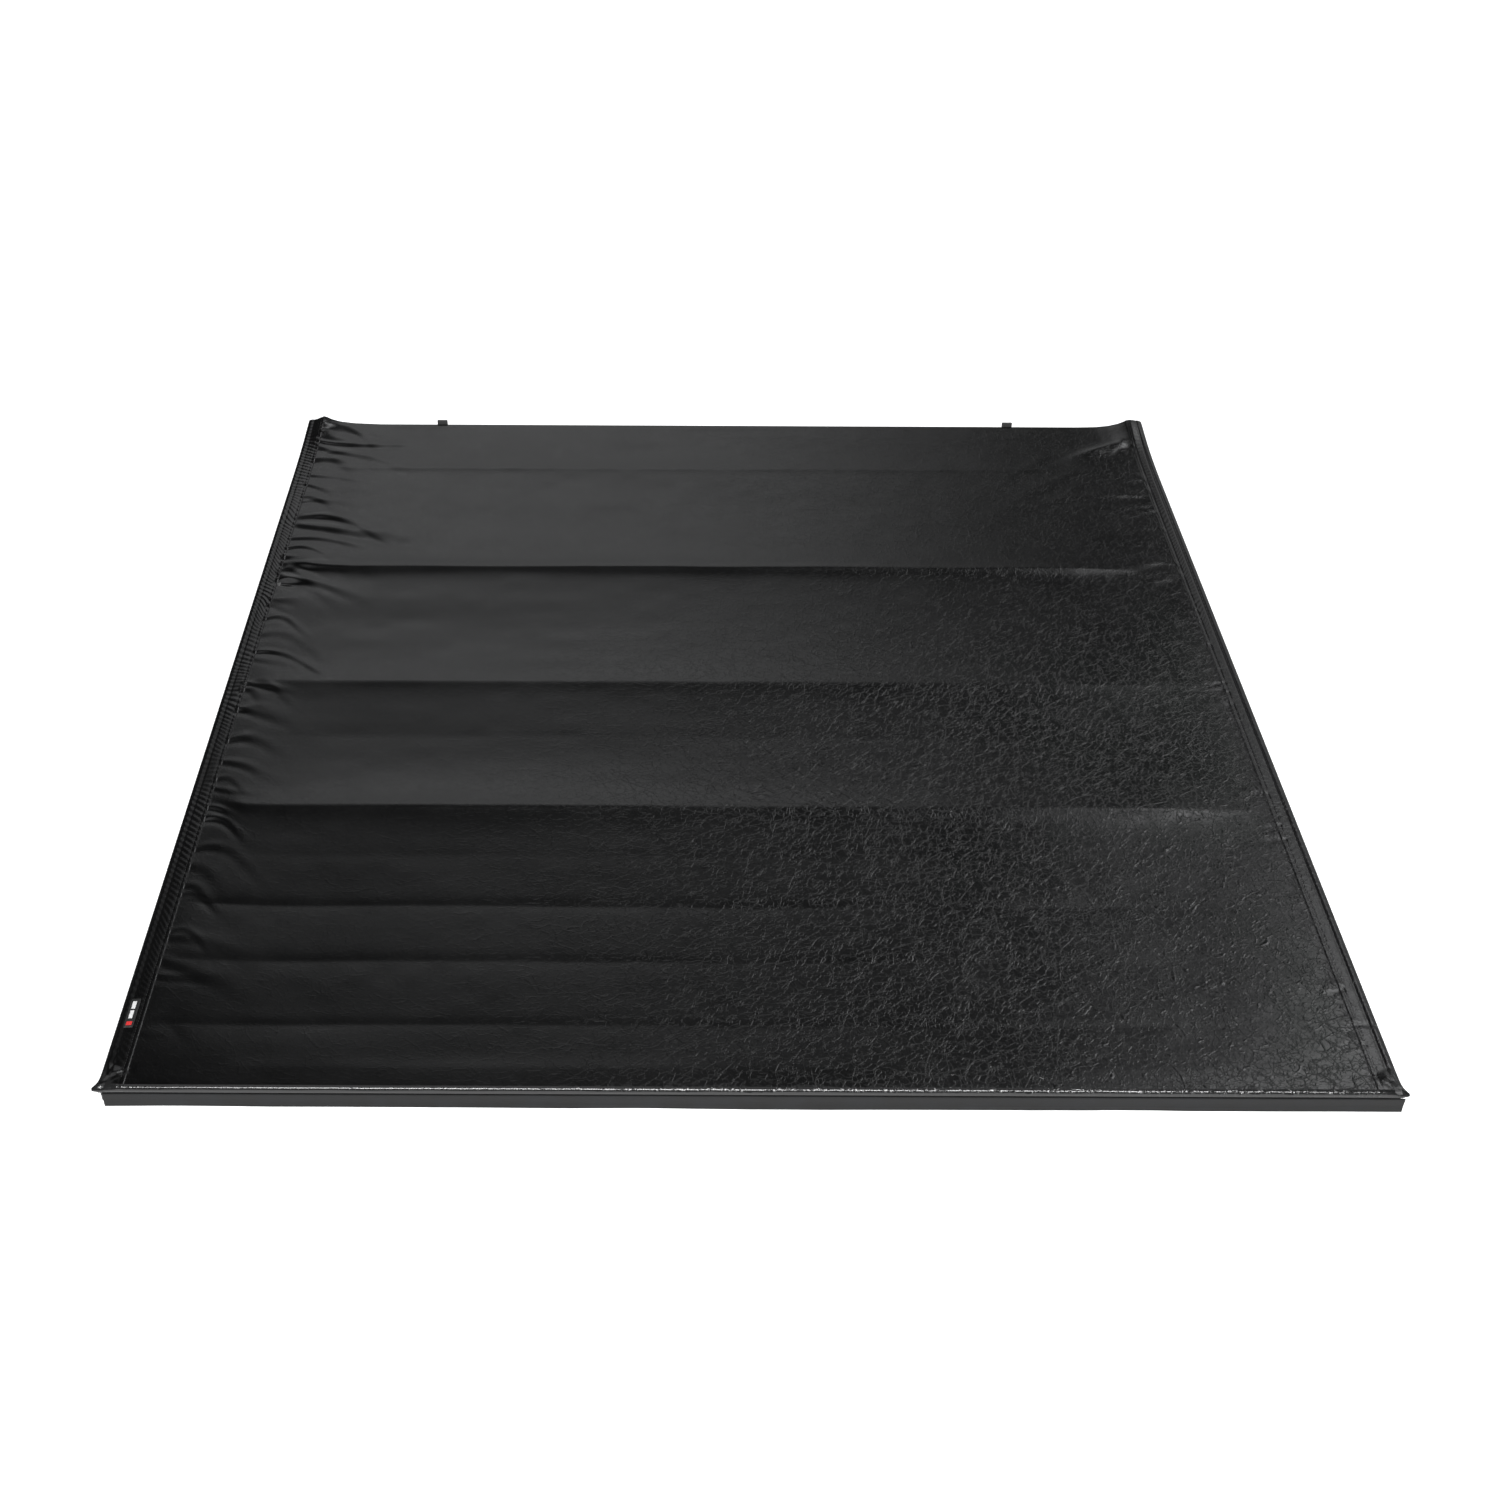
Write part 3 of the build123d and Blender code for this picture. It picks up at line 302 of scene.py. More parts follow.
def lift(x, t):
    """Both cab corners curl up, and a fold runs in from the right one."""
    to_front = np.maximum(LENGTH - t, 0)
    total = np.zeros(np.broadcast(x, t).shape)
    for side, profile in ((-1, LEFT_CURL), (1, RIGHT_CURL)):
        inward = HALF_WIDTH - side * x
        places, rises = zip(*profile)
        curl = sum(np.interp(inward + shift, places, rises) for shift in CURL_BLUR) / len(CURL_BLUR)
        total += curl * MM * np.exp(-((to_front / CURL_DEPTH) ** 1.5))
    right = HALF_WIDTH - x
    path = CORNER_FOLD_START + CORNER_FOLD_SLOPE * np.maximum(right - 0.030, 0)
    fold = crest(path - to_front, 5 * MM, 12 * MM, 30 * MM)
    return total + CORNER_FOLD_RISE * fold * ease(0.030, 0.055, right) * (1 - ease(0.09, 0.20, right))


def broad_height(x, t):
    """Soft unevenness of a large sheet that was rolled for a long time."""
    left = ease(0.6, -0.5, x)
    total = 0.55 * MM * noise(x * 2.2, t * 9.0, 31) * (0.5 + 0.8 * left)
    total += 0.35 * MM * noise(x * 5.0, t * 16.0, 32) * (0.4 + 0.8 * left)
    total += 0.16 * MM * noise(x * 26.0, t * 34.0, 33)
    return total * ease(0.034, 0.075, HALF_WIDTH - np.abs(x))


NOTCH_T = 118 * MM
NOTCH_DEPTH = 0.7 * MM


def notch(x, t):
    """A dent across the right hem, where the tail bar's corner presses."""
    band = 1 - ease(0.030, 0.045, HALF_WIDTH - x)
    return -NOTCH_DEPTH * band * bell(t - NOTCH_T, 3 * MM)


def gather(x, t):
    """The hems bunch where they turn down over the tail bar's ends."""
    outer = HALF_WIDTH - np.abs(x)
    near = 1 - ease(0.030, 0.048, outer)
    bulge = 3.2 * MM * bell(t - 0.023, 0.010) * bell(outer - 0.015, 0.010)
    crease = -1.0 * MM * bell(t - 0.7 * outer - 0.006, 0.0028) * near
    second = -0.4 * MM * bell(t + 0.5 * outer - 0.046, 0.0035) * near
    return (bulge + crease + second) * ease(1.5 * MM, 8 * MM, outer) * ease(0.006, 0.012, t)


def body_height(x, t):
    """Everything both faces of the sheet share, above the flat sheet."""
    inside = ease(0.020, 0.260, HALF_WIDTH - np.abs(x))
    ends = ease(0.012, 0.055, t) * ease(0.006, 0.030, LENGTH - t)
    soft = sag(t) * inside + ridge_height(x, t) + broad_height(x, t)
    wrinkled = wrinkle_height(x, t) * ease(0.004, 0.02, LENGTH - t) * ease(0.02, 0.08, t)
    return soft * ends + wrinkled


def edge_height(x, t):
    """What the hems add to the top face alone."""
    return hem_height(x, t) + notch(x, t) + gather(x, t)


# ---- rows and columns ----
def column_places():
    """Distances from an outer edge to the middle, then mirrored."""
    outer = [0, 0.25, 0.6, 1.1, 1.6, 2.4, 3.4, 4.6]
    outer += list(np.arange(6.0, 31.5, 1.6))
    outer += [32.2, 32.8, 33.4, 34.2]
    outer += list(np.arange(36.0, 90.0, 3.0))
    outer += list(np.arange(90.0, 240.0, 5.0))
    outer = np.array(outer) * MM
    rest = HALF_WIDTH - outer[-1]
    middle = np.linspace(outer[-1], HALF_WIDTH, int(round(rest / (8.5 * MM))) + 1)[1:]
    half = np.concatenate([outer, middle])
    return np.concatenate([half - HALF_WIDTH, (HALF_WIDTH - half)[::-1][1:]])


def row_path():
    """Rows along the sheet: y, z and the outward normal's y and z."""
    rows = []
    top = SKIN_TOP_Z
    leg = TAIL_LOW.z
    rows.append((TAIL_Y + TONGUE, leg, 0, -1))
    rows.append((TAIL_Y, leg, -1, -1))
    for share in (0.5, 1.0):
        rows.append((TAIL_Y, leg + (top - TAIL_RADIUS - leg) * share, -1, 0))
    for angle in np.linspace(0, math.pi / 2, 11)[1:-1]:
        c, s = math.cos(angle), math.sin(angle)
        rows.append((TAIL_Y + TAIL_RADIUS * (1 - c), top - TAIL_RADIUS * (1 - s), -c, s))
    count = int(round((LENGTH - TAIL_RADIUS - FRONT_RADIUS) / ROW_STEP))
    for y in np.linspace(TAIL_Y + TAIL_RADIUS, FRONT_Y - FRONT_RADIUS, count + 1):
        rows.append((y, top, 0, 1))
    leg = FRONT_LOW.z
    for angle in np.linspace(0, math.pi / 2, 7)[1:]:
        c, s = math.cos(angle), math.sin(angle)
        rows.append((FRONT_Y - FRONT_RADIUS * (1 - s), top - FRONT_RADIUS * (1 - c), s, c))
    start = top - FRONT_RADIUS
    for share, turn in ((0.5, 0), (1.0, -1)):
        rows.append((FRONT_Y, start - (start - leg) * share, 1, turn))
    rows.append((FRONT_Y - TONGUE, leg, 0, -1))
    return np.array(rows)


COLUMNS = column_places()
ROWS = row_path()
ROW_T = ROWS[:, 0] - TAIL_Y

FLAP_OUT = 9.0 * MM
FLAP_START = 3 * MM
FLAP_FADE = 4.8 * MM
FLAP_WIDTH = 28 * MM
FLAP_DROP = 0.35
EDGE_THINNING = 0.3 * MM
END_RIPPLE = 0.25 * MM


def flap_out(x, down):
    """How far the hems' ends stick out sideways over the tail bar's ends."""
    near_end = np.exp(-np.maximum(ROW_T - FLAP_START, 0) / FLAP_FADE)[:, None]
    return FLAP_OUT * near_end * ease(0, 0.6, down) * ease(FLAP_WIDTH, 0.0, HALF_WIDTH - np.abs(x))


def sheet():
    """The whole sheet: its flat coordinates, and its points on [top or under face, row, column]."""
    x, t = np.meshgrid(COLUMNS, ROW_T)
    y = np.repeat(ROWS[:, 0][:, None], len(COLUMNS), 1)
    z = np.repeat(ROWS[:, 1][:, None], len(COLUMNS), 1)
    ny, nz = ROWS[:, 2][:, None], ROWS[:, 3][:, None]
    upness = np.clip(nz, 0, 1)
    down = np.clip((z - ROWS[:, 1].min()) / (SKIN_TOP_Z - ROWS[:, 1].min()), 0, 1)
    flat = (ny == 0) & (nz == 1)
    hem = edge_height(x, t) * np.where(flat, 1, upness * 0.6 + 0.4 * (down > 0.2))
    flap = flap_out(x, down)
    shared = body_height(x, t) * upness + lift(x, t) * down - FLAP_DROP * flap
    ripple = END_RIPPLE * noise(x * 22, t * 60, 41) * (1 - upness) * (down > 0.3)
    outer = HALF_WIDTH - np.abs(x)
    thin = SKIN_THICKNESS - EDGE_THINNING * np.clip(1 - outer / EDGE_ROUND, 0, 1)
    wide = x + np.sign(x) * flap
    top = np.stack([wide, y + ny * (hem * (nz < 1) + ripple), z + shared + hem * upness], -1)
    under = np.stack([wide, y - ny * thin, z + shared - nz * thin], -1)
    return np.stack([x, t], -1), np.stack([top, under])


def grid_normals(points):
    """Unit normals of a grid of points."""
    along = np.gradient(points, axis=0)
    across = np.gradient(points, axis=1)
    normal = np.cross(across, along)
    return normal / np.maximum(np.linalg.norm(normal, axis=-1, keepdims=True), 1e-12)


# ---- mesh helpers ----
def new_object(name, data):
    """A new object in the scene, for a mesh, a light or a camera."""
    thing = bpy.data.objects.new(name, data)
    bpy.context.scene.collection.objects.link(thing)
    return thing


def mesh_object(name, points, quads, normals=None, uvs=None, slots=None, smooth=None):
    """A new object from arrays of points and quads. normals and uvs are per face corner."""
    mesh = bpy.data.meshes.new(name)
    quads = np.asarray(quads, np.int32)
    mesh.vertices.add(len(points))
    mesh.vertices.foreach_set("co", np.asarray(points, np.float32).ravel())
    mesh.loops.add(quads.size)
    mesh.loops.foreach_set("vertex_index", quads.ravel())
    mesh.polygons.add(len(quads))
    mesh.polygons.foreach_set("loop_start", np.arange(0, quads.size, quads.shape[1], dtype=np.int32))
    if slots is not None:
        mesh.polygons.foreach_set("material_index", np.asarray(slots, np.int32))
    mesh.update(calc_edges=True)
    mesh.polygons.foreach_set("use_smooth", np.ones(len(quads), bool) if smooth is None else smooth)
    if uvs is not None:
        layer = mesh.uv_layers.new(name="sheet")
        layer.data.foreach_set("uv", np.asarray(uvs, np.float32).ravel())
    if normals is not None:
        mesh.normals_split_custom_set(np.asarray(normals, np.float32).reshape(-1, 3).tolist())
    return new_object(name, mesh)


def slab_quads(rows, columns):
    """Quads of a closed slab, a grid of top points and then one of under points: top, under, rim."""
    size = rows * columns
    i = np.arange(rows - 1)[:, None] * columns + np.arange(columns - 1)[None, :]
    upper = np.stack([i, i + 1, i + columns + 1, i + columns], -1).reshape(-1, 4)
    faces = [upper, (upper + size)[:, ::-1]]
    for column, turned in ((0, False), (columns - 1, True)):
        a = np.arange(rows - 1) * columns + column
        side = np.stack([a, a + columns, a + columns + size, a + size], -1)
        faces.append(side[:, ::-1] if turned else side)
    for row, turned in ((0, True), (rows - 1, False)):
        a = row * columns + np.arange(columns - 1)
        end = np.stack([a, a + 1, a + 1 + size, a + size], -1)
        faces.append(end[:, ::-1] if turned else end)
    return np.concatenate(faces)


def tube_quads(rings, n):
    """Quads of a closed tube of rings with n points each: its side, its first cap and its last cap."""
    i = np.arange(rings - 1)[:, None] * n
    j = np.arange(n)[None]
    k = (j + 1) % n
    side = np.stack([i + j, i + k, i + n + k, i + n + j], -1).reshape(-1, 4)
    cap = np.array([(a, a + 1, n - 2 - a, n - 1 - a) for a in range(n // 2 - 1)])
    return side, cap, cap + (rings - 1) * n


def arc(cy, cz, radius, first, last, steps):
    """Corners on an arc, with angles in degrees from the first axis towards the second."""
    angles = np.radians(np.linspace(first, last, steps))
    return [(cy + radius * math.cos(a), cz + radius * math.sin(a)) for a in angles]


def rounded_box(low_a, high_a, low_b, high_b, r, places=()):
    """Corners of a rounded rectangle, with more corners at the given places on its top and underside."""
    corners = arc(high_a - r, high_b - r, r, 0, 90, 4)
    corners += [(a, high_b) for a in places]
    corners += arc(low_a + r, high_b - r, r, 90, 180, 4)
    corners += arc(low_a + r, low_b + r, r, 180, 270, 4)
    corners += [(a, low_b) for a in places[::-1]]
    return corners + arc(high_a - r, low_b + r, r, 270, 360, 4)


# ---- materials ----
class Graph:
    """Shader nodes under construction, of a new material or of the world that is given."""

    SOCKETS = {
        "color": "Base Color",
        "rough": "Roughness",
        "metal": "Metallic",
        "normal": "Normal",
        "specular": "Specular IOR Level",
        "sheen": "Sheen Weight",
        "glow_color": "Emission Color",
        "glow": "Emission Strength",
    }

    def __init__(self, name, world=None):
        self.owner = world or bpy.data.materials.new(name)
        self.owner.use_nodes = True
        self.nodes = self.owner.node_tree.nodes
        self.links = self.owner.node_tree.links

    def feed(self, node, key, value):
        socket = node.inputs[key]
        if isinstance(value, bpy.types.NodeSocket):
            self.links.new(value, socket)
        else:
            socket.default_value = value

    def add(self, kind, inputs=None, **settings):
        node = self.nodes.new("ShaderNode" + kind)
        for key, value in settings.items():
            setattr(node, key, value)
        for key, value in (inputs or {}).items():
            self.feed(node, key, value)
        return node

    def coords(self, kind="Object", scale=(1, 1, 1)):
        source = self.add("TexCoord").outputs[kind]
        return self.add("Mapping", {"Vector": source, "Scale": scale}).outputs[0]

    def math(self, operation, a, b=0.0):
        return self.add("Math", {0: a, 1: b}, operation=operation).outputs[0]

    def times(self, a, b):
        return self.math("MULTIPLY", a, b)

    def plus(self, a, b):
        return self.math("ADD", a, b)

    def noise(self, vector, scale, detail=2.0, rough=0.5):
        inputs = {"Vector": vector, "Scale": scale, "Detail": detail, "Roughness": rough}
        return self.add("TexNoise", inputs).outputs[0]

    def voronoi(self, vector, scale, feature="F1"):
        return self.add("TexVoronoi", {"Vector": vector, "Scale": scale}, feature=feature).outputs[0]

    def wave(self, vector, scale, distortion, direction, detail=2.0):
        inputs = {"Vector": vector, "Scale": scale, "Distortion": distortion, "Detail": detail}
        return self.add("TexWave", inputs, bands_direction=direction).outputs[1]

    def remap(self, value, low, high, to_low=0.0, to_high=1.0):
        inputs = {0: value, 1: low, 2: high, 3: to_low, 4: to_high}
        return self.add("MapRange", inputs, interpolation_type="SMOOTHSTEP").outputs[0]

    def mix(self, share, a, b):
        inputs = {0: share, 6: a, 7: b}
        return self.add("Mix", inputs, data_type="RGBA").outputs[2]

    def warp(self, vector, scale, amount):
        shifted = self.add("TexNoise", {"Vector": vector, "Scale": scale, "Detail": 2.0}).outputs[1]
        centred = self.add("VectorMath", {0: shifted, 1: (0.5, 0.5, 0.5)}, operation="SUBTRACT").outputs[0]
        scaled = self.add("VectorMath", {0: centred, "Scale": amount}, operation="SCALE").outputs[0]
        return self.add("VectorMath", {0: vector, 1: scaled}, operation="ADD").outputs[0]

    def bump(self, height, distance, strength=1.0, normal=None):
        inputs = {"Height": height, "Distance": distance, "Strength": strength}
        if normal is not None:
            inputs["Normal"] = normal
        return self.add("Bump", inputs).outputs[0]

    def finish(self, **inputs):
        for key, value in inputs.items():
            self.feed(self.nodes["Principled BSDF"], self.SOCKETS[key], value)
        return self.owner


def grey(value, tint=(1.0, 1.0, 1.0)):
    return (value * tint[0], value * tint[1], value * tint[2], 1.0)


# nets of creases: cells per metre, line width, warp scale, warp, mask scale, weight
CREASE_NETS = (
    (30.0, 0.030, 26.0, 0.014, 22.0, 1.0),
    (52.0, 0.042, 44.0, 0.010, 40.0, 0.9),
    (92.0, 0.065, 80.0, 0.006, 60.0, 0.7),
)
# wandering single creases: waves per metre, line width, weight
CREASE_LINES = ((36.0, 0.014, 0.9), (70.0, 0.020, 0.8))


def vinyl_creases(g, uv):
    """Broken handling creases, from nets of cells and from the level lines of a noise field."""
    strokes = []
    for scale, width, warp_scale, warp, mask_scale, weight in CREASE_NETS:
        net = g.voronoi(g.warp(uv, warp_scale, warp), scale, "DISTANCE_TO_EDGE")
        line = g.remap(net, 0.0, width, 1.0, 0.0)
        mask = g.remap(g.noise(uv, mask_scale, 2.0), 0.40, 0.56)
        strokes.append(g.times(g.times(line, mask), weight))
    for scale, width, weight in CREASE_LINES:
        field = g.noise(uv, scale, 1.0, 0.4)
        line = g.remap(g.math("ABSOLUTE", g.math("SUBTRACT", field, 0.5)), 0.0, width, weight, 0.0)
        gap = g.remap(g.noise(uv, scale * 1.3, 1.0), 0.40, 0.55)
        strokes.append(g.times(line, gap))
    return reduce(g.plus, strokes)


def vinyl_crinkle_and_highlight(g, uv):
    """How crinkled the sheet is: most at the tail's right, least at the cab's left and on the hems. It also sets
    where the crease lines are painted paler, a painted highlight where the right softbox shines.
    """
    place = g.add("SeparateXYZ", {0: uv})
    across, along = place.outputs[0], place.outputs[1]
    crinkle_and_highlight = g.times(g.remap(across, -0.55, 0.45, 0.16, 1.0), g.remap(along, 0.55, 1.25, 1.0, 0.30))
    hem_start = HALF_WIDTH - HEM_WIDTH
    return g.times(crinkle_and_highlight, g.remap(g.math("ABSOLUTE", across), hem_start, hem_start + 3 * MM, 1.0, 0.3))


def vinyl():
    """Leather-grained PVC: fine pebble grain, a net of broken handling creases, uneven gloss, and crease lines
    painted paler, partly as dust and partly as painted highlight.
    """
    g = Graph("grained_vinyl")
    uv = g.coords("UV")
    pebble = g.remap(g.voronoi(g.warp(uv, 500.0, 0.0006), 620.0, "DISTANCE_TO_EDGE"), 0.0, 0.22)
    fine = g.noise(uv, 2600.0, 3.0, 0.6)
    grain = g.plus(pebble, g.times(fine, 0.5))
    creases = vinyl_creases(g, uv)
    dents = g.noise(g.warp(uv, 30.0, 0.02), 45.0, 4.0, 0.6)
    crinkle_and_highlight = vinyl_crinkle_and_highlight(g, uv)
    normal = g.bump(dents, 0.30 * MM, crinkle_and_highlight)
    normal = g.bump(creases, 0.30 * MM, crinkle_and_highlight, normal)
    normal = g.bump(grain, 0.05 * MM, 0.25, normal)
    cloud = g.noise(uv, 7.0, 4.0, 0.6)
    rough = g.plus(g.remap(cloud, 0.3, 0.7, 0.15, 0.20), g.times(fine, 0.04))
    rough = g.plus(rough, g.times(creases, -0.05))
    deep, pale = grey(0.0015, (1.0, 1.01, 1.06)), grey(0.0023, (1.0, 1.0, 1.03))
    color = g.mix(g.remap(cloud, 0.35, 0.65), deep, pale)
    # crease lines painted paler: partly dust, partly a painted highlight, strongest at the tail's right where the
    # right softbox shines
    dust_and_highlight = g.times(g.remap(creases, 0.2, 1.4, 0.0, 0.6), crinkle_and_highlight)
    color = g.mix(dust_and_highlight, color, grey(0.006))
    return g.finish(color=color, rough=rough, normal=normal, specular=0.5)


def backing():
    """Knitted backing of the skin's underside."""
    g = Graph("knit_backing")
    uv = g.coords("UV")
    knit = g.times(g.wave(uv, 520.0, 0.6, "X", 1.0), g.wave(uv, 420.0, 0.6, "Y", 1.0))
    fuzz = g.noise(uv, 1800.0, 3.0)
    height = g.plus(knit, g.times(fuzz, 0.4))
    cloud = g.noise(uv, 9.0, 4.0)
    color = g.mix(g.remap(cloud, 0.35, 0.65), grey(0.030), grey(0.045, (1.0, 1.0, 1.04)))
    color = g.mix(g.remap(knit, 0.2, 0.8, 0.0, 0.6), color, grey(0.075))
    return g.finish(color=color, rough=0.85, normal=g.bump(height, 0.25 * MM, 0.6), sheen=0.25)


def thread():
    """Twisted black sewing thread."""
    g = Graph("seam_thread")
    where = g.coords()
    twist = g.noise(where, 1500.0, 2.0)
    color = g.mix(twist, grey(0.007), grey(0.020))
    return g.finish(color=color, rough=0.6, normal=g.bump(twist, 0.1 * MM, 0.5))


def rubber():
    """Extruded rubber skirt: dull, with long drawn lines and dust."""
    g = Graph("skirt_rubber")
    where = g.coords()
    drawn = g.noise(g.coords("Object", (2.0, 60.0, 900.0)), 1.0, 3.0)
    mottle = g.noise(where, 26.0, 5.0, 0.65)
    speck = g.noise(where, 900.0, 2.0)
    color = g.mix(g.remap(mottle, 0.35, 0.7), grey(0.006), grey(0.011, (0.96, 1.0, 1.08)))
    rough = g.remap(mottle, 0.3, 0.7, 0.46, 0.62)
    height = g.plus(drawn, g.times(speck, 0.3))
    return g.finish(color=color, rough=rough, normal=g.bump(height, 0.20 * MM, 0.6), specular=0.16)


def powder_coat():
    """Black powder coat: orange peel, and bare metal showing on worn edges."""
    g = Graph("black_powder_coat")
    where = g.coords()
    peel = g.noise(where, 420.0, 2.0)
    scuff = g.noise(g.coords("Object", (40.0, 4.0, 40.0)), 1.0, 5.0, 0.7)
    soft = g.add("Bevel", {"Radius": 0.8 * MM}, samples=4).outputs[0]
    true = g.add("NewGeometry").outputs["Normal"]
    turn = g.add("VectorMath", {0: soft, 1: true}, operation="DOT_PRODUCT").outputs[1]
    edge = g.times(g.remap(turn, 0.97, 0.86), g.remap(scuff, 0.42, 0.62))
    color = g.mix(g.remap(scuff, 0.3, 0.8), grey(0.014), grey(0.026, (1.0, 1.0, 1.03)))
    color = g.mix(g.times(edge, 0.7), color, grey(0.20))
    rough = g.remap(scuff, 0.3, 0.8, 0.38, 0.55)
    return g.finish(color=color, rough=rough, normal=g.bump(peel, 0.08 * MM, 0.5))


def metal(name, value, tint, stretch, rough, spots=0.0):
    """Bare metal with drawn lines along stretch, cloudy tone and optional crystal spangle."""
    g = Graph(name)
    drawn = g.noise(g.coords("Object", stretch), 1.0, 4.0, 0.6)
    cloud = g.noise(g.coords(), 35.0, 4.0, 0.6)
    color = g.mix(g.remap(cloud, 0.35, 0.65), grey(value * 0.82, tint), grey(value, tint))
    if spots:
        spangle = g.voronoi(g.coords(), 160.0)
        color = g.mix(g.remap(spangle, 0.2, 0.7, 0.0, spots), color, grey(value * 0.55, tint))
    gloss = g.remap(drawn, 0.3, 0.7, rough - 0.07, rough + 0.09)
    return g.finish(color=color, metal=1.0, rough=gloss, normal=g.bump(drawn, 0.05 * MM, 0.5))


def plastic(name, value, rough, scale=700.0):
    """Moulded plastic with a fine spark-eroded texture."""
    g = Graph(name)
    where = g.coords()
    texture = g.noise(where, scale, 3.0)
    cloud = g.noise(where, 22.0, 4.0)
    color = g.mix(g.remap(cloud, 0.35, 0.65), grey(value * 0.75), grey(value, (1.0, 1.0, 1.03)))
    gloss = g.remap(texture, 0.3, 0.7, rough - 0.06, rough + 0.08)
    return g.finish(color=color, rough=gloss, normal=g.bump(texture, 0.08 * MM, 0.6))


def foam():
    """Closed-cell foam rubber."""
    g = Graph("foam_seal")
    where = g.coords()
    cells = g.voronoi(where, 900.0)
    lumps = g.noise(where, 60.0, 4.0)
    color = g.mix(g.remap(lumps, 0.3, 0.7), grey(0.018), grey(0.040))
    height = g.plus(g.times(cells, 0.6), lumps)
    return g.finish(color=color, rough=0.9, normal=g.bump(height, 0.5 * MM, 0.7))


def tape(name, scale, distance, value):
    """Hook or loop tape: rows of small tufts on a woven ground."""
    g = Graph(name)
    where = g.coords()
    tufts = g.voronoi(where, scale)
    fuzz = g.noise(where, scale * 3, 3.0)
    height = g.math("SUBTRACT", g.times(fuzz, 0.7), tufts)
    color = g.mix(g.remap(tufts, 0.1, 0.8), grey(value * 1.7), grey(value * 0.6))
    return g.finish(color=color, rough=0.9, normal=g.bump(height, distance, 0.8), sheen=0.4)


def webbing_material():
    """Flat-woven polyester webbing with slanting yarn ribs."""
    g = Graph("strap_webbing")
    uv = g.coords("UV")
    ribs = g.wave(uv, 190.0, 0.4, "DIAGONAL")
    yarn = g.wave(uv, 420.0, 0.2, "X")
    fuzz = g.noise(uv, 2200.0, 3.0)
    height = g.plus(g.times(ribs, yarn), g.times(fuzz, 0.3))
    color = g.mix(g.remap(height, 0.2, 1.1), grey(0.014), grey(0.05))
    return g.finish(color=color, rough=0.75, normal=g.bump(height, 0.35 * MM, 0.8), sheen=0.3)


def label_material():
    """Woven label: dark ground, two pale bars and a red block at its tail end."""
    g = Graph("hem_label_weave")
    uv = g.coords("UV")
    parts = g.add("SeparateXYZ", {0: uv})
    u, v = parts.outputs[0], parts.outputs[1]

    def inside(value, low, high):
        above = g.math("GREATER_THAN", value, low)
        return g.times(above, g.math("LESS_THAN", value, high))

    weave = g.wave(uv, 14.0, 0.3, "X")
    ground = g.mix(weave, grey(0.004), grey(0.010))
    bars = g.plus(inside(v, 0.30, 0.58), inside(v, 0.64, 0.90))
    color = g.mix(g.times(bars, inside(u, 0.25, 0.66)), ground, grey(0.62))
    red = g.times(inside(u, 0.2, 0.8), inside(v, 0.07, 0.2))
    color = g.mix(red, color, (0.55, 0.02, 0.02, 1.0))
    border = g.times(inside(u, 0.07, 0.93), inside(v, 0.025, 0.975))
    color = g.mix(border, grey(0.015), color)
    return g.finish(color=color, rough=0.55, normal=g.bump(weave, 0.15 * MM, 0.6))


VINYL = vinyl()
BACKING = backing()
THREAD = thread()
SLOT_MATERIALS = {
    "black_rail": powder_coat(),
    "mill_aluminium": metal("mill_aluminium", 0.62, (1.0, 1.0, 1.01), (1.5, 700.0, 700.0), 0.34),
    "zinc_steel": metal("zinc_steel", 0.55, (1.0, 1.0, 0.97), (90.0, 90.0, 90.0), 0.38, 0.5),
    "spring_steel": metal("spring_steel", 0.45, (1.0, 0.98, 0.95), (300.0, 300.0, 300.0), 0.3),
    "foam_seal": foam(),
    "skirt_rubber": rubber(),
    "black_plastic": plastic("black_plastic", 0.022, 0.5),
    "cable_sheath": plastic("cable_sheath", 0.018, 0.42, 300.0),
    "webbing": webbing_material(),
    "hook_and_loop": tape("hook_tape", 640.0, 0.5 * MM, 0.020),
}
LOOP_TAPE = tape("loop_tape", 420.0, 0.7 * MM, 0.022)
LABEL = label_material()


def paint(thing, material):
    thing.data.materials.clear()
    thing.data.materials.append(material)


def settle(piece, slot, *nodes):
    """Hides the CAD nodes that a piece stands in for; the piece and the slot are not used."""
    for node in nodes:
        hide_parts(node)


def ride(piece, body, slot, node):
    """A piece in its slot's material that moves with one body, in place of one CAD node."""
    paint(piece, SLOT_MATERIALS[slot])
    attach(piece, body)
    settle(piece, slot, node)


for row in frame["record"]["subparts"]:
    material = SLOT_MATERIALS.get(row["material_slot"])
    if material is not None:
        paint(NODES[row["node"]], material)


# ---- skin pieces ----
BOW_REACH = 40 * MM
CUT_CLEARANCE = 45 * MM


def cut_rows():
    """The row in the middle of each inner panel, clear of the bows, where the sheet is cut."""
    ends = [0.0, *FOLDS, LENGTH]
    cuts = [0]
    for low, high in list(zip(ends, ends[1:]))[1:-1]:
        middle = (low + high) / 2
        near = [bow for bow in BOWS if abs(bow - middle) < BOW_REACH]
        if near:
            fits = near[0] + CUT_CLEARANCE + BLEND_HALF < high
            middle = near[0] + (CUT_CLEARANCE if fits else -CUT_CLEARANCE)
        cuts.append(int(np.argmin(np.abs(ROW_T - middle))))
    return cuts + [len(ROWS) - 1]


def bend_over(piece):
    """Bakes a piece's placement into its mesh."""
    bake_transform(piece)


SHEET_XT, FACES = sheet()
NORMALS = np.stack([grid_normals(FACES[0]), -grid_normals(FACES[1])])
CUTS = cut_rows()
CUT_T = [ROW_T[cut] for cut in CUTS]


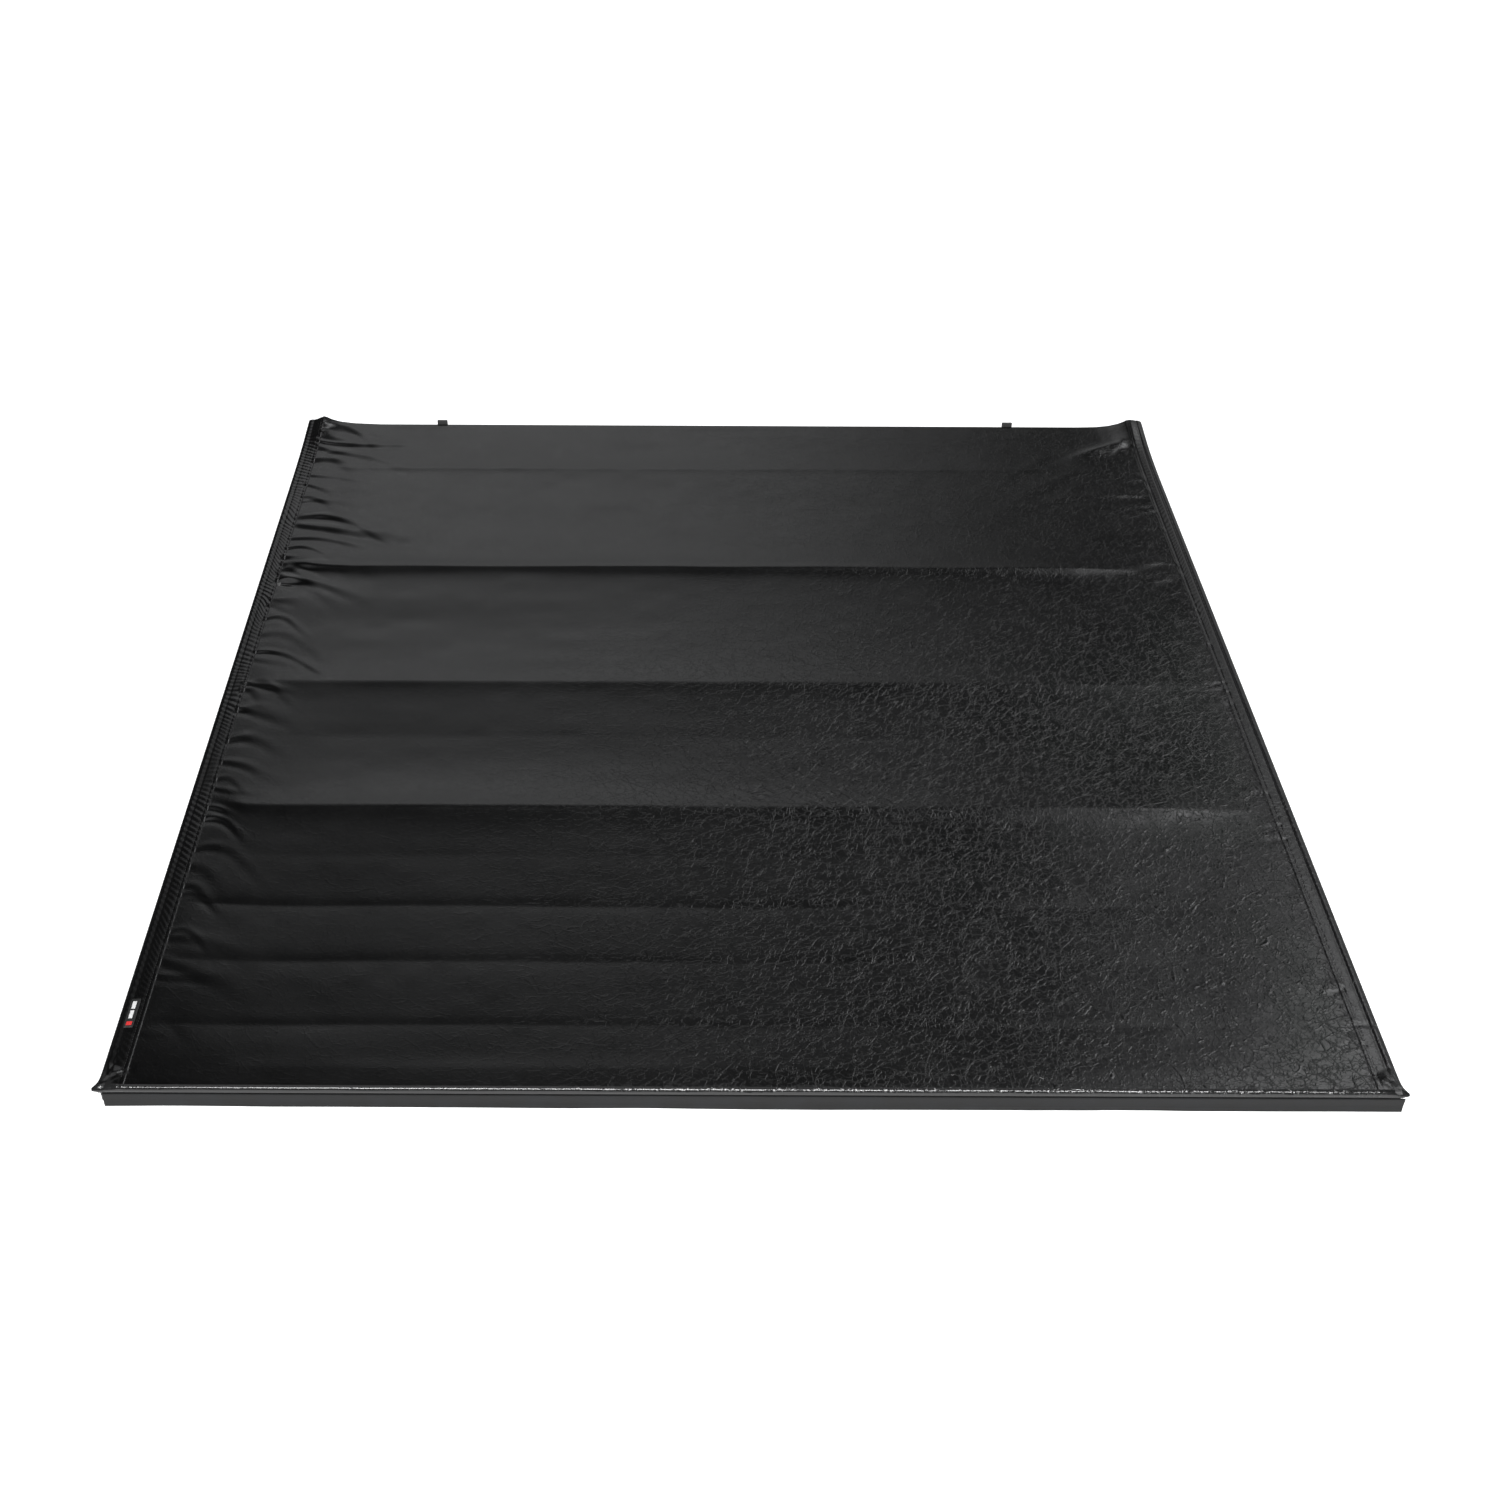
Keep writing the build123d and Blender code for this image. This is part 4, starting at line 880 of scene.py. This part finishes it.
def skin_piece(name, low, high):
    """Rows low to high of the sheet as a closed piece: vinyl on top and on the rim, backing below."""
    rows = slice(low, high + 1)
    points = FACES[:, rows].reshape(-1, 3)
    uvs = np.tile(SHEET_XT[rows].reshape(-1, 2), (2, 1))
    quads = slab_quads(high - low + 1, len(COLUMNS))
    upper = (high - low) * (len(COLUMNS) - 1)
    rim = 2 * upper
    normals = NORMALS[:, rows].reshape(-1, 3)[quads]
    corner = points[quads[rim:]]
    rim_normal = np.cross(corner[:, 2] - corner[:, 0], corner[:, 3] - corner[:, 1])
    rim_normal /= np.maximum(np.linalg.norm(rim_normal, axis=1, keepdims=True), 1e-12)
    normals[rim:] = rim_normal[:, None, :]
    slots = np.zeros(len(quads), int)
    slots[upper:rim] = 1
    smooth = np.arange(len(quads)) < rim
    piece = mesh_object(name, points, quads, normals, uvs[quads], slots, smooth)
    for material in (VINYL, BACKING):
        piece.data.materials.append(material)
    return piece


for fold in range(1, PANEL_COUNT + 1):
    piece = skin_piece(f"skin_{fold}", CUTS[fold - 1], CUTS[fold])
    bend_over(piece)
    front = ["cover_front_panel"] if fold == PANEL_COUNT else []
    settle(piece, "skin", *front, f"cover_panel_{fold}")


# ---- loop tape under the hems, and the other soft strips ----
def inner_edge(node):
    """Where a mirrored pair's left half ends, towards the middle."""
    xs = np.array([v.co.x for v in NODES[node].data.vertices])
    return float(xs[xs < 0].max())


def soft_strip(name, low, high, rounding, step, wave, seed):
    """A strip along y on each side, with a rounded section and a slightly uneven thickness."""
    count = max(2, int(round((high.y - low.y) / step)) + 1)
    r = min(rounding, (high.z - low.z) * 0.49)
    section = rounded_box(low.x, high.x, low.z, high.z, r)
    n = len(section)
    ring = np.repeat(np.array(section)[None], count, 0)
    y = np.repeat(np.linspace(low.y, high.y, count)[:, None], n, 1)
    middle = (low.z + high.z) / 2
    body, cap, last = tube_quads(count, n)
    points, quads = [], []
    for side in (-1, 1):
        x = -side * ring[..., 0]
        shrink = wave * noise(y * 40, x * 60, seed)
        z = middle + (ring[..., 1] - middle) * (1 - np.abs(shrink))
        points.append(np.stack([x, y, z], -1).reshape(-1, 3))
        turned = [body[:, ::-1], cap, last[:, ::-1]] if side < 0 else [body, cap[:, ::-1], last]
        quads += [part + (count * n if side > 0 else 0) for part in turned]
    points, quads = np.concatenate(points), np.concatenate(quads)
    return mesh_object(name, points, quads, uvs=points[quads][..., :2])


STRIP_LOW, STRIP_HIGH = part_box("loop_strips_5")
STRIP_INNER = inner_edge("loop_strips_5")
STRIP_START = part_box("loop_strips_1")[0].y
STRIP_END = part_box("loop_strips_front")[1].y
for fold in range(1, PANEL_COUNT + 1):
    low_y = STRIP_START if fold == 1 else TAIL_Y + CUT_T[fold - 1]
    high_y = STRIP_END if fold == PANEL_COUNT else TAIL_Y + CUT_T[fold]
    low = Vector((STRIP_LOW.x, low_y, STRIP_LOW.z))
    high = Vector((STRIP_INNER, high_y, STRIP_HIGH.z))
    strip = soft_strip(f"loop_tape_{fold}", low, high, 0.5 * MM, 4 * MM, 0.12, 51)
    paint(strip, LOOP_TAPE)
    bend_over(strip)
    front = ["loop_strips_front"] if fold == PANEL_COUNT else []
    settle(strip, "hook_and_loop", f"loop_strips_{fold}", *front)

for node, slot in (("rail_seals", "foam_seal"), ("rail_hook_strips", "hook_and_loop")):
    low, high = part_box(node)
    high = Vector((inner_edge(node), high.y, high.z))
    strip = soft_strip(f"soft_{node}", low, high, 1.0 * MM, 12 * MM, 0.10, 52)
    ride(strip, "root", slot, node)


# ---- tail skirt, bulkhead seal ----
def extrude_section(name, section, xs, shift):
    """A closed solid: a section of (y, z) corners run along x, moved by shift(x, y, z) -> (dy, dz)."""
    section = np.array(section)
    n = len(section)
    x = np.repeat(np.asarray(xs)[:, None], n, 1)
    y = np.repeat(section[None, :, 0], len(xs), 0)
    z = np.repeat(section[None, :, 1], len(xs), 0)
    dy, dz = shift(x, y, z)
    points = np.stack([x, y + dy, z + dz], -1).reshape(-1, 3)
    last = (len(xs) - 1) * n
    faces = tube_quads(len(xs), n)[0].tolist()
    faces += [list(range(n - 1, -1, -1)), list(range(last, last + n))]
    mesh = bpy.data.meshes.new(name)
    mesh.from_pydata(points.tolist(), [], faces)
    mesh.polygons.foreach_set("use_smooth", [True] * (len(faces) - 2) + [False, False])
    thing = new_object(name, mesh)
    modifier = thing.modifiers.new("soft_edges", "EDGE_SPLIT")
    modifier.split_angle = math.radians(50)
    return thing


# skirt: a plate with a rounded lower edge, and a bead on a neck that sits in the bar
SKIRT_LOW, SKIRT_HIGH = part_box("tail_skirt")
SKIRT_SLIP = 4 * MM
SKIRT_THICKNESS = 2 * MM
SKIRT_ROUND = 0.7 * MM
SKIRT_BEAD_RADIUS = 1.6 * MM
SKIRT_BEAD_Z = 16 * MM
SKIRT_NECK = 0.6 * MM
SKIRT_FREE_GAP = 3 * MM
SKIRT_STATIONS = 281


def skirt_section():
    """The skirt's outline as (y, z) corners."""
    back = SKIRT_LOW.y
    face = back + SKIRT_THICKNESS
    r = SKIRT_ROUND
    bead_y = SKIRT_HIGH.y - SKIRT_BEAD_RADIUS
    corners = arc(back + r, SKIRT_HIGH.z - r, r, 90, 180, 4)
    corners += [(back, z) for z in np.linspace(SKIRT_HIGH.z - 3 * MM, SKIRT_LOW.z + 2 * MM, 12)]
    corners += arc(back + r, SKIRT_LOW.z + r, r, 180, 270, 4)
    corners += arc(face - r, SKIRT_LOW.z + r, r, 270, 360, 4)
    corners += [(face, z) for z in np.linspace(SKIRT_LOW.z + 2 * MM, SKIRT_BEAD_Z - SKIRT_NECK, 9)]
    corners += arc(bead_y, SKIRT_BEAD_Z, SKIRT_BEAD_RADIUS, 202, 518, 16)
    corners += [(face, SKIRT_BEAD_Z + SKIRT_NECK), (face, SKIRT_HIGH.z - r)]
    corners += arc(face - r, SKIRT_HIGH.z - r, r, 0, 90, 4)
    return corners


def skirt_shift(x, y, z):
    """The free part below the bar hangs in shallow waves."""
    free = np.clip((SKIRT_BEAD_Z - SKIRT_FREE_GAP - z) / (SKIRT_BEAD_Z - SKIRT_LOW.z), 0, 1) ** 1.5
    out = 0.9 * MM * (1 + noise(x * 6.5, 0 * x + 2.2, 61)) + 0.5 * MM * (1 + noise(x * 21, 0 * x + 7.7, 62))
    drop = 1.3 * MM * noise(x * 4.5, 0 * x + 5.1, 63) + 0.5 * MM * noise(x * 17, 0 * x + 1.3, 64)
    return -out * free, drop * free


skirt_xs = np.linspace(SKIRT_LOW.x, SKIRT_HIGH.x, SKIRT_STATIONS) + SKIRT_SLIP
skirt = extrude_section("soft_skirt", skirt_section(), skirt_xs, skirt_shift)
ride(skirt, "panel_1", "skirt_rubber", "tail_skirt")

SEAL_LOW, SEAL_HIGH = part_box("bulkhead_seal")
SEAL_ROUND = 1.6 * MM
SEAL_STATIONS = 211


def seal_shift(x, y, z):
    """The foam is pinched a little from both sides and squeezed from below."""
    middle = (SEAL_LOW.y + SEAL_HIGH.y) / 2
    pinch = -0.5 * MM * (1 + noise(x * 30, y * 20, 65)) * np.sign(y - middle)
    squeeze = np.where(z < (SEAL_LOW.z + SEAL_HIGH.z) / 2, 0.35 * MM * (1 + noise(x * 22, y * 60, 66)), 0)
    return pinch, squeeze


seal_xs = np.linspace(SEAL_LOW.x, SEAL_HIGH.x, SEAL_STATIONS)
seal_ys = np.linspace(SEAL_HIGH.y - 4 * MM, SEAL_LOW.y + 4 * MM, 5)
seal_outline = rounded_box(SEAL_LOW.y, SEAL_HIGH.y, SEAL_LOW.z, SEAL_HIGH.z, SEAL_ROUND, seal_ys)
seal = extrude_section("soft_seal", seal_outline, seal_xs, seal_shift)
ride(seal, "root", "foam_seal", "bulkhead_seal")


# ---- storage straps ----
def rounded_path(corners, radius, step):
    """A polyline of (y, z) with rounded corners, in short steps."""
    corners = [np.array(corner, float) for corner in corners]
    path = [corners[0]]
    for before, here, after in zip(corners, corners[1:], corners[2:]):
        a, b = before - here, after - here
        reach = min(radius, np.linalg.norm(a) * 0.45, np.linalg.norm(b) * 0.45)
        first = here + a / np.linalg.norm(a) * reach
        last = here + b / np.linalg.norm(b) * reach
        for share in np.linspace(0, 1, 6):
            path.append((1 - share) ** 2 * first + 2 * share * (1 - share) * here + share**2 * last)
    path.append(corners[-1])
    dense = [path[0]]
    for low, high in zip(path, path[1:]):
        pieces = max(1, int(round(np.linalg.norm(high - low) / step)))
        dense += [low + (high - low) * (k + 1) / pieces for k in range(pieces)]
    return np.array(dense)


def ribbon(name, path, low_x, high_x, seed):
    """A webbing strap: a thin band with rounded selvedges that follows a path of (y, z)."""
    along = np.gradient(path, axis=0)
    along /= np.linalg.norm(along, axis=1, keepdims=True)
    out = np.stack([-along[:, 1], along[:, 0]], -1)
    shares = np.array([0, 0.03, 0.10, 0.3, 0.5, 0.7, 0.90, 0.97, 1.0])
    half = STRAP_THICKNESS / 2 * np.array([0.35, 0.8, 1, 0.94, 0.94, 0.94, 1, 0.8, 0.35])
    shares = np.concatenate([shares, shares[::-1]])
    half = np.concatenate([half, -half[::-1]])
    run = np.concatenate([[0], np.cumsum(np.linalg.norm(np.diff(path, axis=0), axis=1))])
    waver = 0.25 * MM * noise(run * 60, 0 * run, seed)
    x = low_x + (high_x - low_x) * shares[None, :] + waver[:, None]
    y = path[:, :1] + out[:, :1] * half[None]
    z = path[:, 1:] + out[:, 1:] * half[None]
    points = np.stack([x, y, z], -1).reshape(-1, 3)
    n = len(shares)
    side, cap, last = tube_quads(len(path), n)
    quads = np.concatenate([side[:, [0, 3, 2, 1]], cap, last[:, ::-1]])
    flat = np.stack([x, np.repeat(run[:, None], n, 1)], -1).reshape(-1, 2)
    band = mesh_object(name, points, quads, uvs=flat[quads])
    ride(band, "root", "webbing", "storage_straps")


STRAP_LOW, STRAP_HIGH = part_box("storage_straps")
HEADER_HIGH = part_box("header_rail")[1]
STRAP_THICKNESS = 1.4 * MM
STRAP_GAP = 0.1 * MM
STRAP_WIDTH = 20 * MM
STRAP_FOOT_Z = 9.5 * MM
STRAP_REAR_TOP_Z = 18.5 * MM
STRAP_REAR_MIDDLE_Z = -20 * MM
STRAP_GRIP = 5 * MM
half_strap = STRAP_THICKNESS / 2
front_y = STRAP_HIGH.y - half_strap
rise_y = FRONT_Y + STRAP_GAP + half_strap
face_y = HEADER_HIGH.y + STRAP_GAP + half_strap
top_z = STRAP_HIGH.z - half_strap
front_corners = (
    (face_y, STRAP_FOOT_Z),
    (face_y, FRONT_LOW.z - 1.0 * MM),
    (rise_y, FRONT_LOW.z - 0.6 * MM),
    (rise_y, top_z),
    (front_y, top_z),
    (front_y, STRAP_FOOT_Z + STRAP_GRIP),
)
front_path = rounded_path(front_corners, 2.4 * MM, 1.5 * MM)
rear_y = STRAP_LOW.y + half_strap
rear_corners = [(rear_y, z) for z in (STRAP_REAR_TOP_Z, STRAP_REAR_MIDDLE_Z, STRAP_LOW.z)]
rear_path = rounded_path(rear_corners, 2 * MM, 2.5 * MM)
for side, side_name in ((-1, "left"), (1, "right")):
    middle_x = side * (STRAP_HIGH.x - STRAP_WIDTH / 2)
    low_x, high_x = middle_x - STRAP_WIDTH / 2, middle_x + STRAP_WIDTH / 2
    ribbon(f"strap_loop_{side_name}", front_path, low_x, high_x, 71)
    ribbon(f"strap_tail_{side_name}", rear_path, low_x, high_x, 72)


# ---- hem label and stitches ----
def skin_height(x, t):
    """Height of the skin's top at places on its flat part."""
    return SKIN_TOP_Z + body_height(x, t) + edge_height(x, t) + lift(x, t)


LABEL_START, LABEL_END = 103 * MM, 155 * MM
LABEL_OUTER, LABEL_INNER = 9.5 * MM, 22.5 * MM
LABEL_THICKNESS = 0.8 * MM
LABEL_GAP = 0.05 * MM


def label_mesh():
    """The woven label: a thin slab that follows the hem, with worn corners and a thinner rim."""
    u, v = np.meshgrid(np.linspace(0, 1, 11), np.linspace(0, 1, 27))
    worn = 0.10 * (np.abs(2 * u - 1) ** 6) * (np.abs(2 * v - 1) ** 14)
    x = -HALF_WIDTH + LABEL_OUTER + (LABEL_INNER - LABEL_OUTER) * (0.5 + (u - 0.5) * (1 - worn))
    t = LABEL_START + (LABEL_END - LABEL_START) * v
    base = skin_height(x, t)
    edge = np.minimum(np.minimum(u, 1 - u) * 13, np.minimum(v, 1 - v) * 52)
    top = base + 0.15 * MM + LABEL_THICKNESS * (0.55 + 0.45 * ease(0, 0.9, edge))
    faces = [np.stack([x, t + TAIL_Y, z], -1).reshape(-1, 3) for z in (top, base + LABEL_GAP)]
    rows, columns = u.shape
    quads = slab_quads(rows, columns)
    flat = np.tile(np.stack([u, v], -1).reshape(-1, 2), (2, 1))
    smooth = np.arange(len(quads)) < 2 * (rows - 1) * (columns - 1)
    return mesh_object("woven_label", np.concatenate(faces), quads, uvs=flat[quads], smooth=smooth)


label = label_mesh()
paint(label, LABEL)
bend_over(label)
settle(label, "label_plate", "hem_label")

STITCH_PITCH = 4.6 * MM
STITCH_LENGTH = 3.4 * MM
STITCH_RADIUS = 0.38 * MM
STITCH_LIFT = 0.06 * MM
STITCH_OUTER = HEM_WIDTH - SEAM_INSET
STITCH_START = 16 * MM
STITCH_END_GAP = 10 * MM


def stitch_mesh(name, low_t, high_t):
    """One small rounded stitch every pitch along both hems."""
    ring = np.linspace(0, 2 * math.pi, 7)[:-1]
    stations = np.array([-0.5, -0.38, 0.0, 0.38, 0.5]) * STITCH_LENGTH
    radii = np.array([0.25, 0.8, 1.0, 0.8, 0.25])[:, None] * STITCH_RADIUS
    n, count = len(ring), len(stations)
    starts = np.arange(low_t + STITCH_PITCH / 2, high_t - STITCH_LENGTH / 2, STITCH_PITCH)
    body = tube_quads(count, n)[0][:, [0, 3, 2, 1]]
    cap = np.array([(0, 1, 2, 3), (0, 3, 4, 5)])
    last = cap[:, ::-1] + (count - 1) * n
    stitch = np.concatenate([body, cap, last])
    t = np.tile((starts[:, None] + stations[None])[..., None], (2, 1, n))
    side = np.repeat([-1.0, 1.0], len(starts))[:, None, None]
    x = side * (HALF_WIDTH - STITCH_OUTER) + 0 * t
    height = skin_height(x[..., 0], t[..., 0])[..., None] + STITCH_LIFT
    points = np.stack([x + radii * np.cos(ring), t + TAIL_Y, height + radii * np.sin(ring)], -1)
    quads = stitch[None] + (np.arange(2 * len(starts)) * n * count)[:, None, None]
    return mesh_object(name, points.reshape(-1, 3), quads.reshape(-1, 4))


for fold in range(1, PANEL_COUNT + 1):
    low_t = STITCH_START if fold == 1 else CUT_T[fold - 1]
    high_t = LENGTH - STITCH_END_GAP if fold == PANEL_COUNT else CUT_T[fold]
    stitches = stitch_mesh(f"hem_stitches_{fold}", low_t, high_t)
    paint(stitches, THREAD)
    bend_over(stitches)


# ---- stage, light and camera ----
BOX_PLACE = (0.1, -4.3, 2.7)
BOX_TARGET = (0, -1.7, 0)
BOX_SIZE = (3.8, 0.5)
BOX_WATTS = 260


def rear_box():
    """A wide softbox behind the tail, which lights the skin's rounded tail edge."""
    data = bpy.data.lights.new("rear_box", "AREA")
    data.shape = "RECTANGLE"
    data.size, data.size_y = BOX_SIZE
    data.energy = BOX_WATTS
    lamp = new_object("rear_box", data)
    lamp.location = BOX_PLACE
    lamp.rotation_euler = (Vector(BOX_TARGET) - Vector(BOX_PLACE)).to_track_quat("-Z", "Y").to_euler()


def studio_world():
    """White to the camera. As light: a pale wall beyond the cab end, a bright right side, a glow overhead.

    z is a direction's height (1 overhead), and azimuth its angle from the cab end towards the right."""
    world = bpy.data.worlds.new("studio")
    bpy.context.scene.world = world
    g = Graph("studio", world)
    where = g.add("TexCoord").outputs["Generated"]
    parts = g.add("SeparateXYZ", {0: where})
    x, y, z = parts.outputs[0], parts.outputs[1], parts.outputs[2]
    azimuth = g.math("ARCTAN2", x, y)

    # the wall: brightest in a low band, dim above it, between its left and right ends
    low_wall = g.times(g.remap(z, 0.45, 0.53, 0.50, 1.15), g.remap(z, 0.535, 0.565, 1.0, 0.34))
    low_wall = g.plus(low_wall, g.remap(z, 0.58, 0.62, 0.0, 0.12))
    wall = g.times(low_wall, g.remap(z, 0.63, 0.74, 1.0, 0.24))
    right_end = g.remap(azimuth, -0.02, 0.30, 1.0, 0.05)
    left_end = g.remap(azimuth, -0.43, -0.20, 0.05, 1.0)
    wall = g.times(wall, g.times(right_end, left_end))

    # the right side: a tall bright box, and a thin strip below it
    right_box = g.times(g.remap(azimuth, 0.30, 0.58, 0.0, 3.9), g.remap(azimuth, 0.8, 1.3, 1.0, 0.1))
    right_box = g.times(right_box, g.remap(z, 0.56, 0.74, 0.05, 1.0))
    right_box = g.times(right_box, g.remap(z, 0.76, 0.90, 1.0, 0.03))
    right_strip = g.times(g.remap(azimuth, 0.31, 0.39, 0.0, 0.5), g.remap(z, 0.60, 0.54, 0.0, 1.0))
    right_box = g.math("MAXIMUM", right_box, right_strip)

    # the glow overhead, the left side, a dim rear and a pale ground
    overhead = g.remap(z, 0.88, 0.96, 0.0, 0.8)
    left_side = g.plus(overhead, g.remap(azimuth, -0.6, -1.1, 0.0, 0.4))
    level = g.plus(g.plus(wall, right_box), g.plus(left_side, 0.01))
    level = g.math("MAXIMUM", level, g.remap(y, 0.1, -0.5, 0.01, 0.10))
    level = g.math("MAXIMUM", level, g.remap(z, 0.0, -0.1, 0.0, 0.5))
    seen = g.add("LightPath").outputs["Is Camera Ray"]
    level = g.add("Mix", {0: seen, 2: level, 3: 1.0}, data_type="FLOAT").outputs[0]
    g.feed(g.nodes["Background"], 0, (0.98, 0.99, 1.0, 1.0))
    g.feed(g.nodes["Background"], 1, level)


FLOOR_SIZE = 14.0
FLOOR_COLOR = grey(0.75)
FLOOR_GLOW = 0.75
FLOOR_GAP = 0.5 * MM


def floor():
    """A white floor that glows a little, so that it stays pale under the dark studio."""
    g = Graph("studio_floor")
    white = g.finish(color=FLOOR_COLOR, rough=0.8, glow_color=grey(1.0), glow=FLOOR_GLOW)
    level = CAD_LOW.z - FLOOR_GAP
    half = FLOOR_SIZE / 2
    points = [(-half, -half, level), (half, -half, level), (half, half, level), (-half, half, level)]
    plane = mesh_object("floor", points, [[0, 1, 2, 3]])
    plane.data.materials.append(white)


studio_world()
floor()
rear_box()

CAMERA_BEHIND_TAIL = 1.553
CAMERA_HEIGHT = 1.858
CAMERA_SIDE = -0.103
CAMERA_DOWN_DEG = 39.02
CAMERA_TURN_DEG = 0.138
CAMERA_ROLL_DEG = 0.217
CAMERA_LENS_MM = 43.75
CAMERA_SHIFT = 0.0509

camera_data = bpy.data.cameras.new("camera")
camera_data.lens = CAMERA_LENS_MM
camera_data.shift_x = CAMERA_SHIFT
camera = new_object("camera", camera_data)
camera.location = (CAMERA_SIDE, TAIL_Y - CAMERA_BEHIND_TAIL, CAMERA_HEIGHT)
pitch = math.radians(90 - CAMERA_DOWN_DEG)
camera.rotation_euler = (pitch, math.radians(-CAMERA_ROLL_DEG), math.radians(CAMERA_TURN_DEG))
bpy.context.scene.camera = camera
bpy.context.scene.view_settings.view_transform = "Standard"
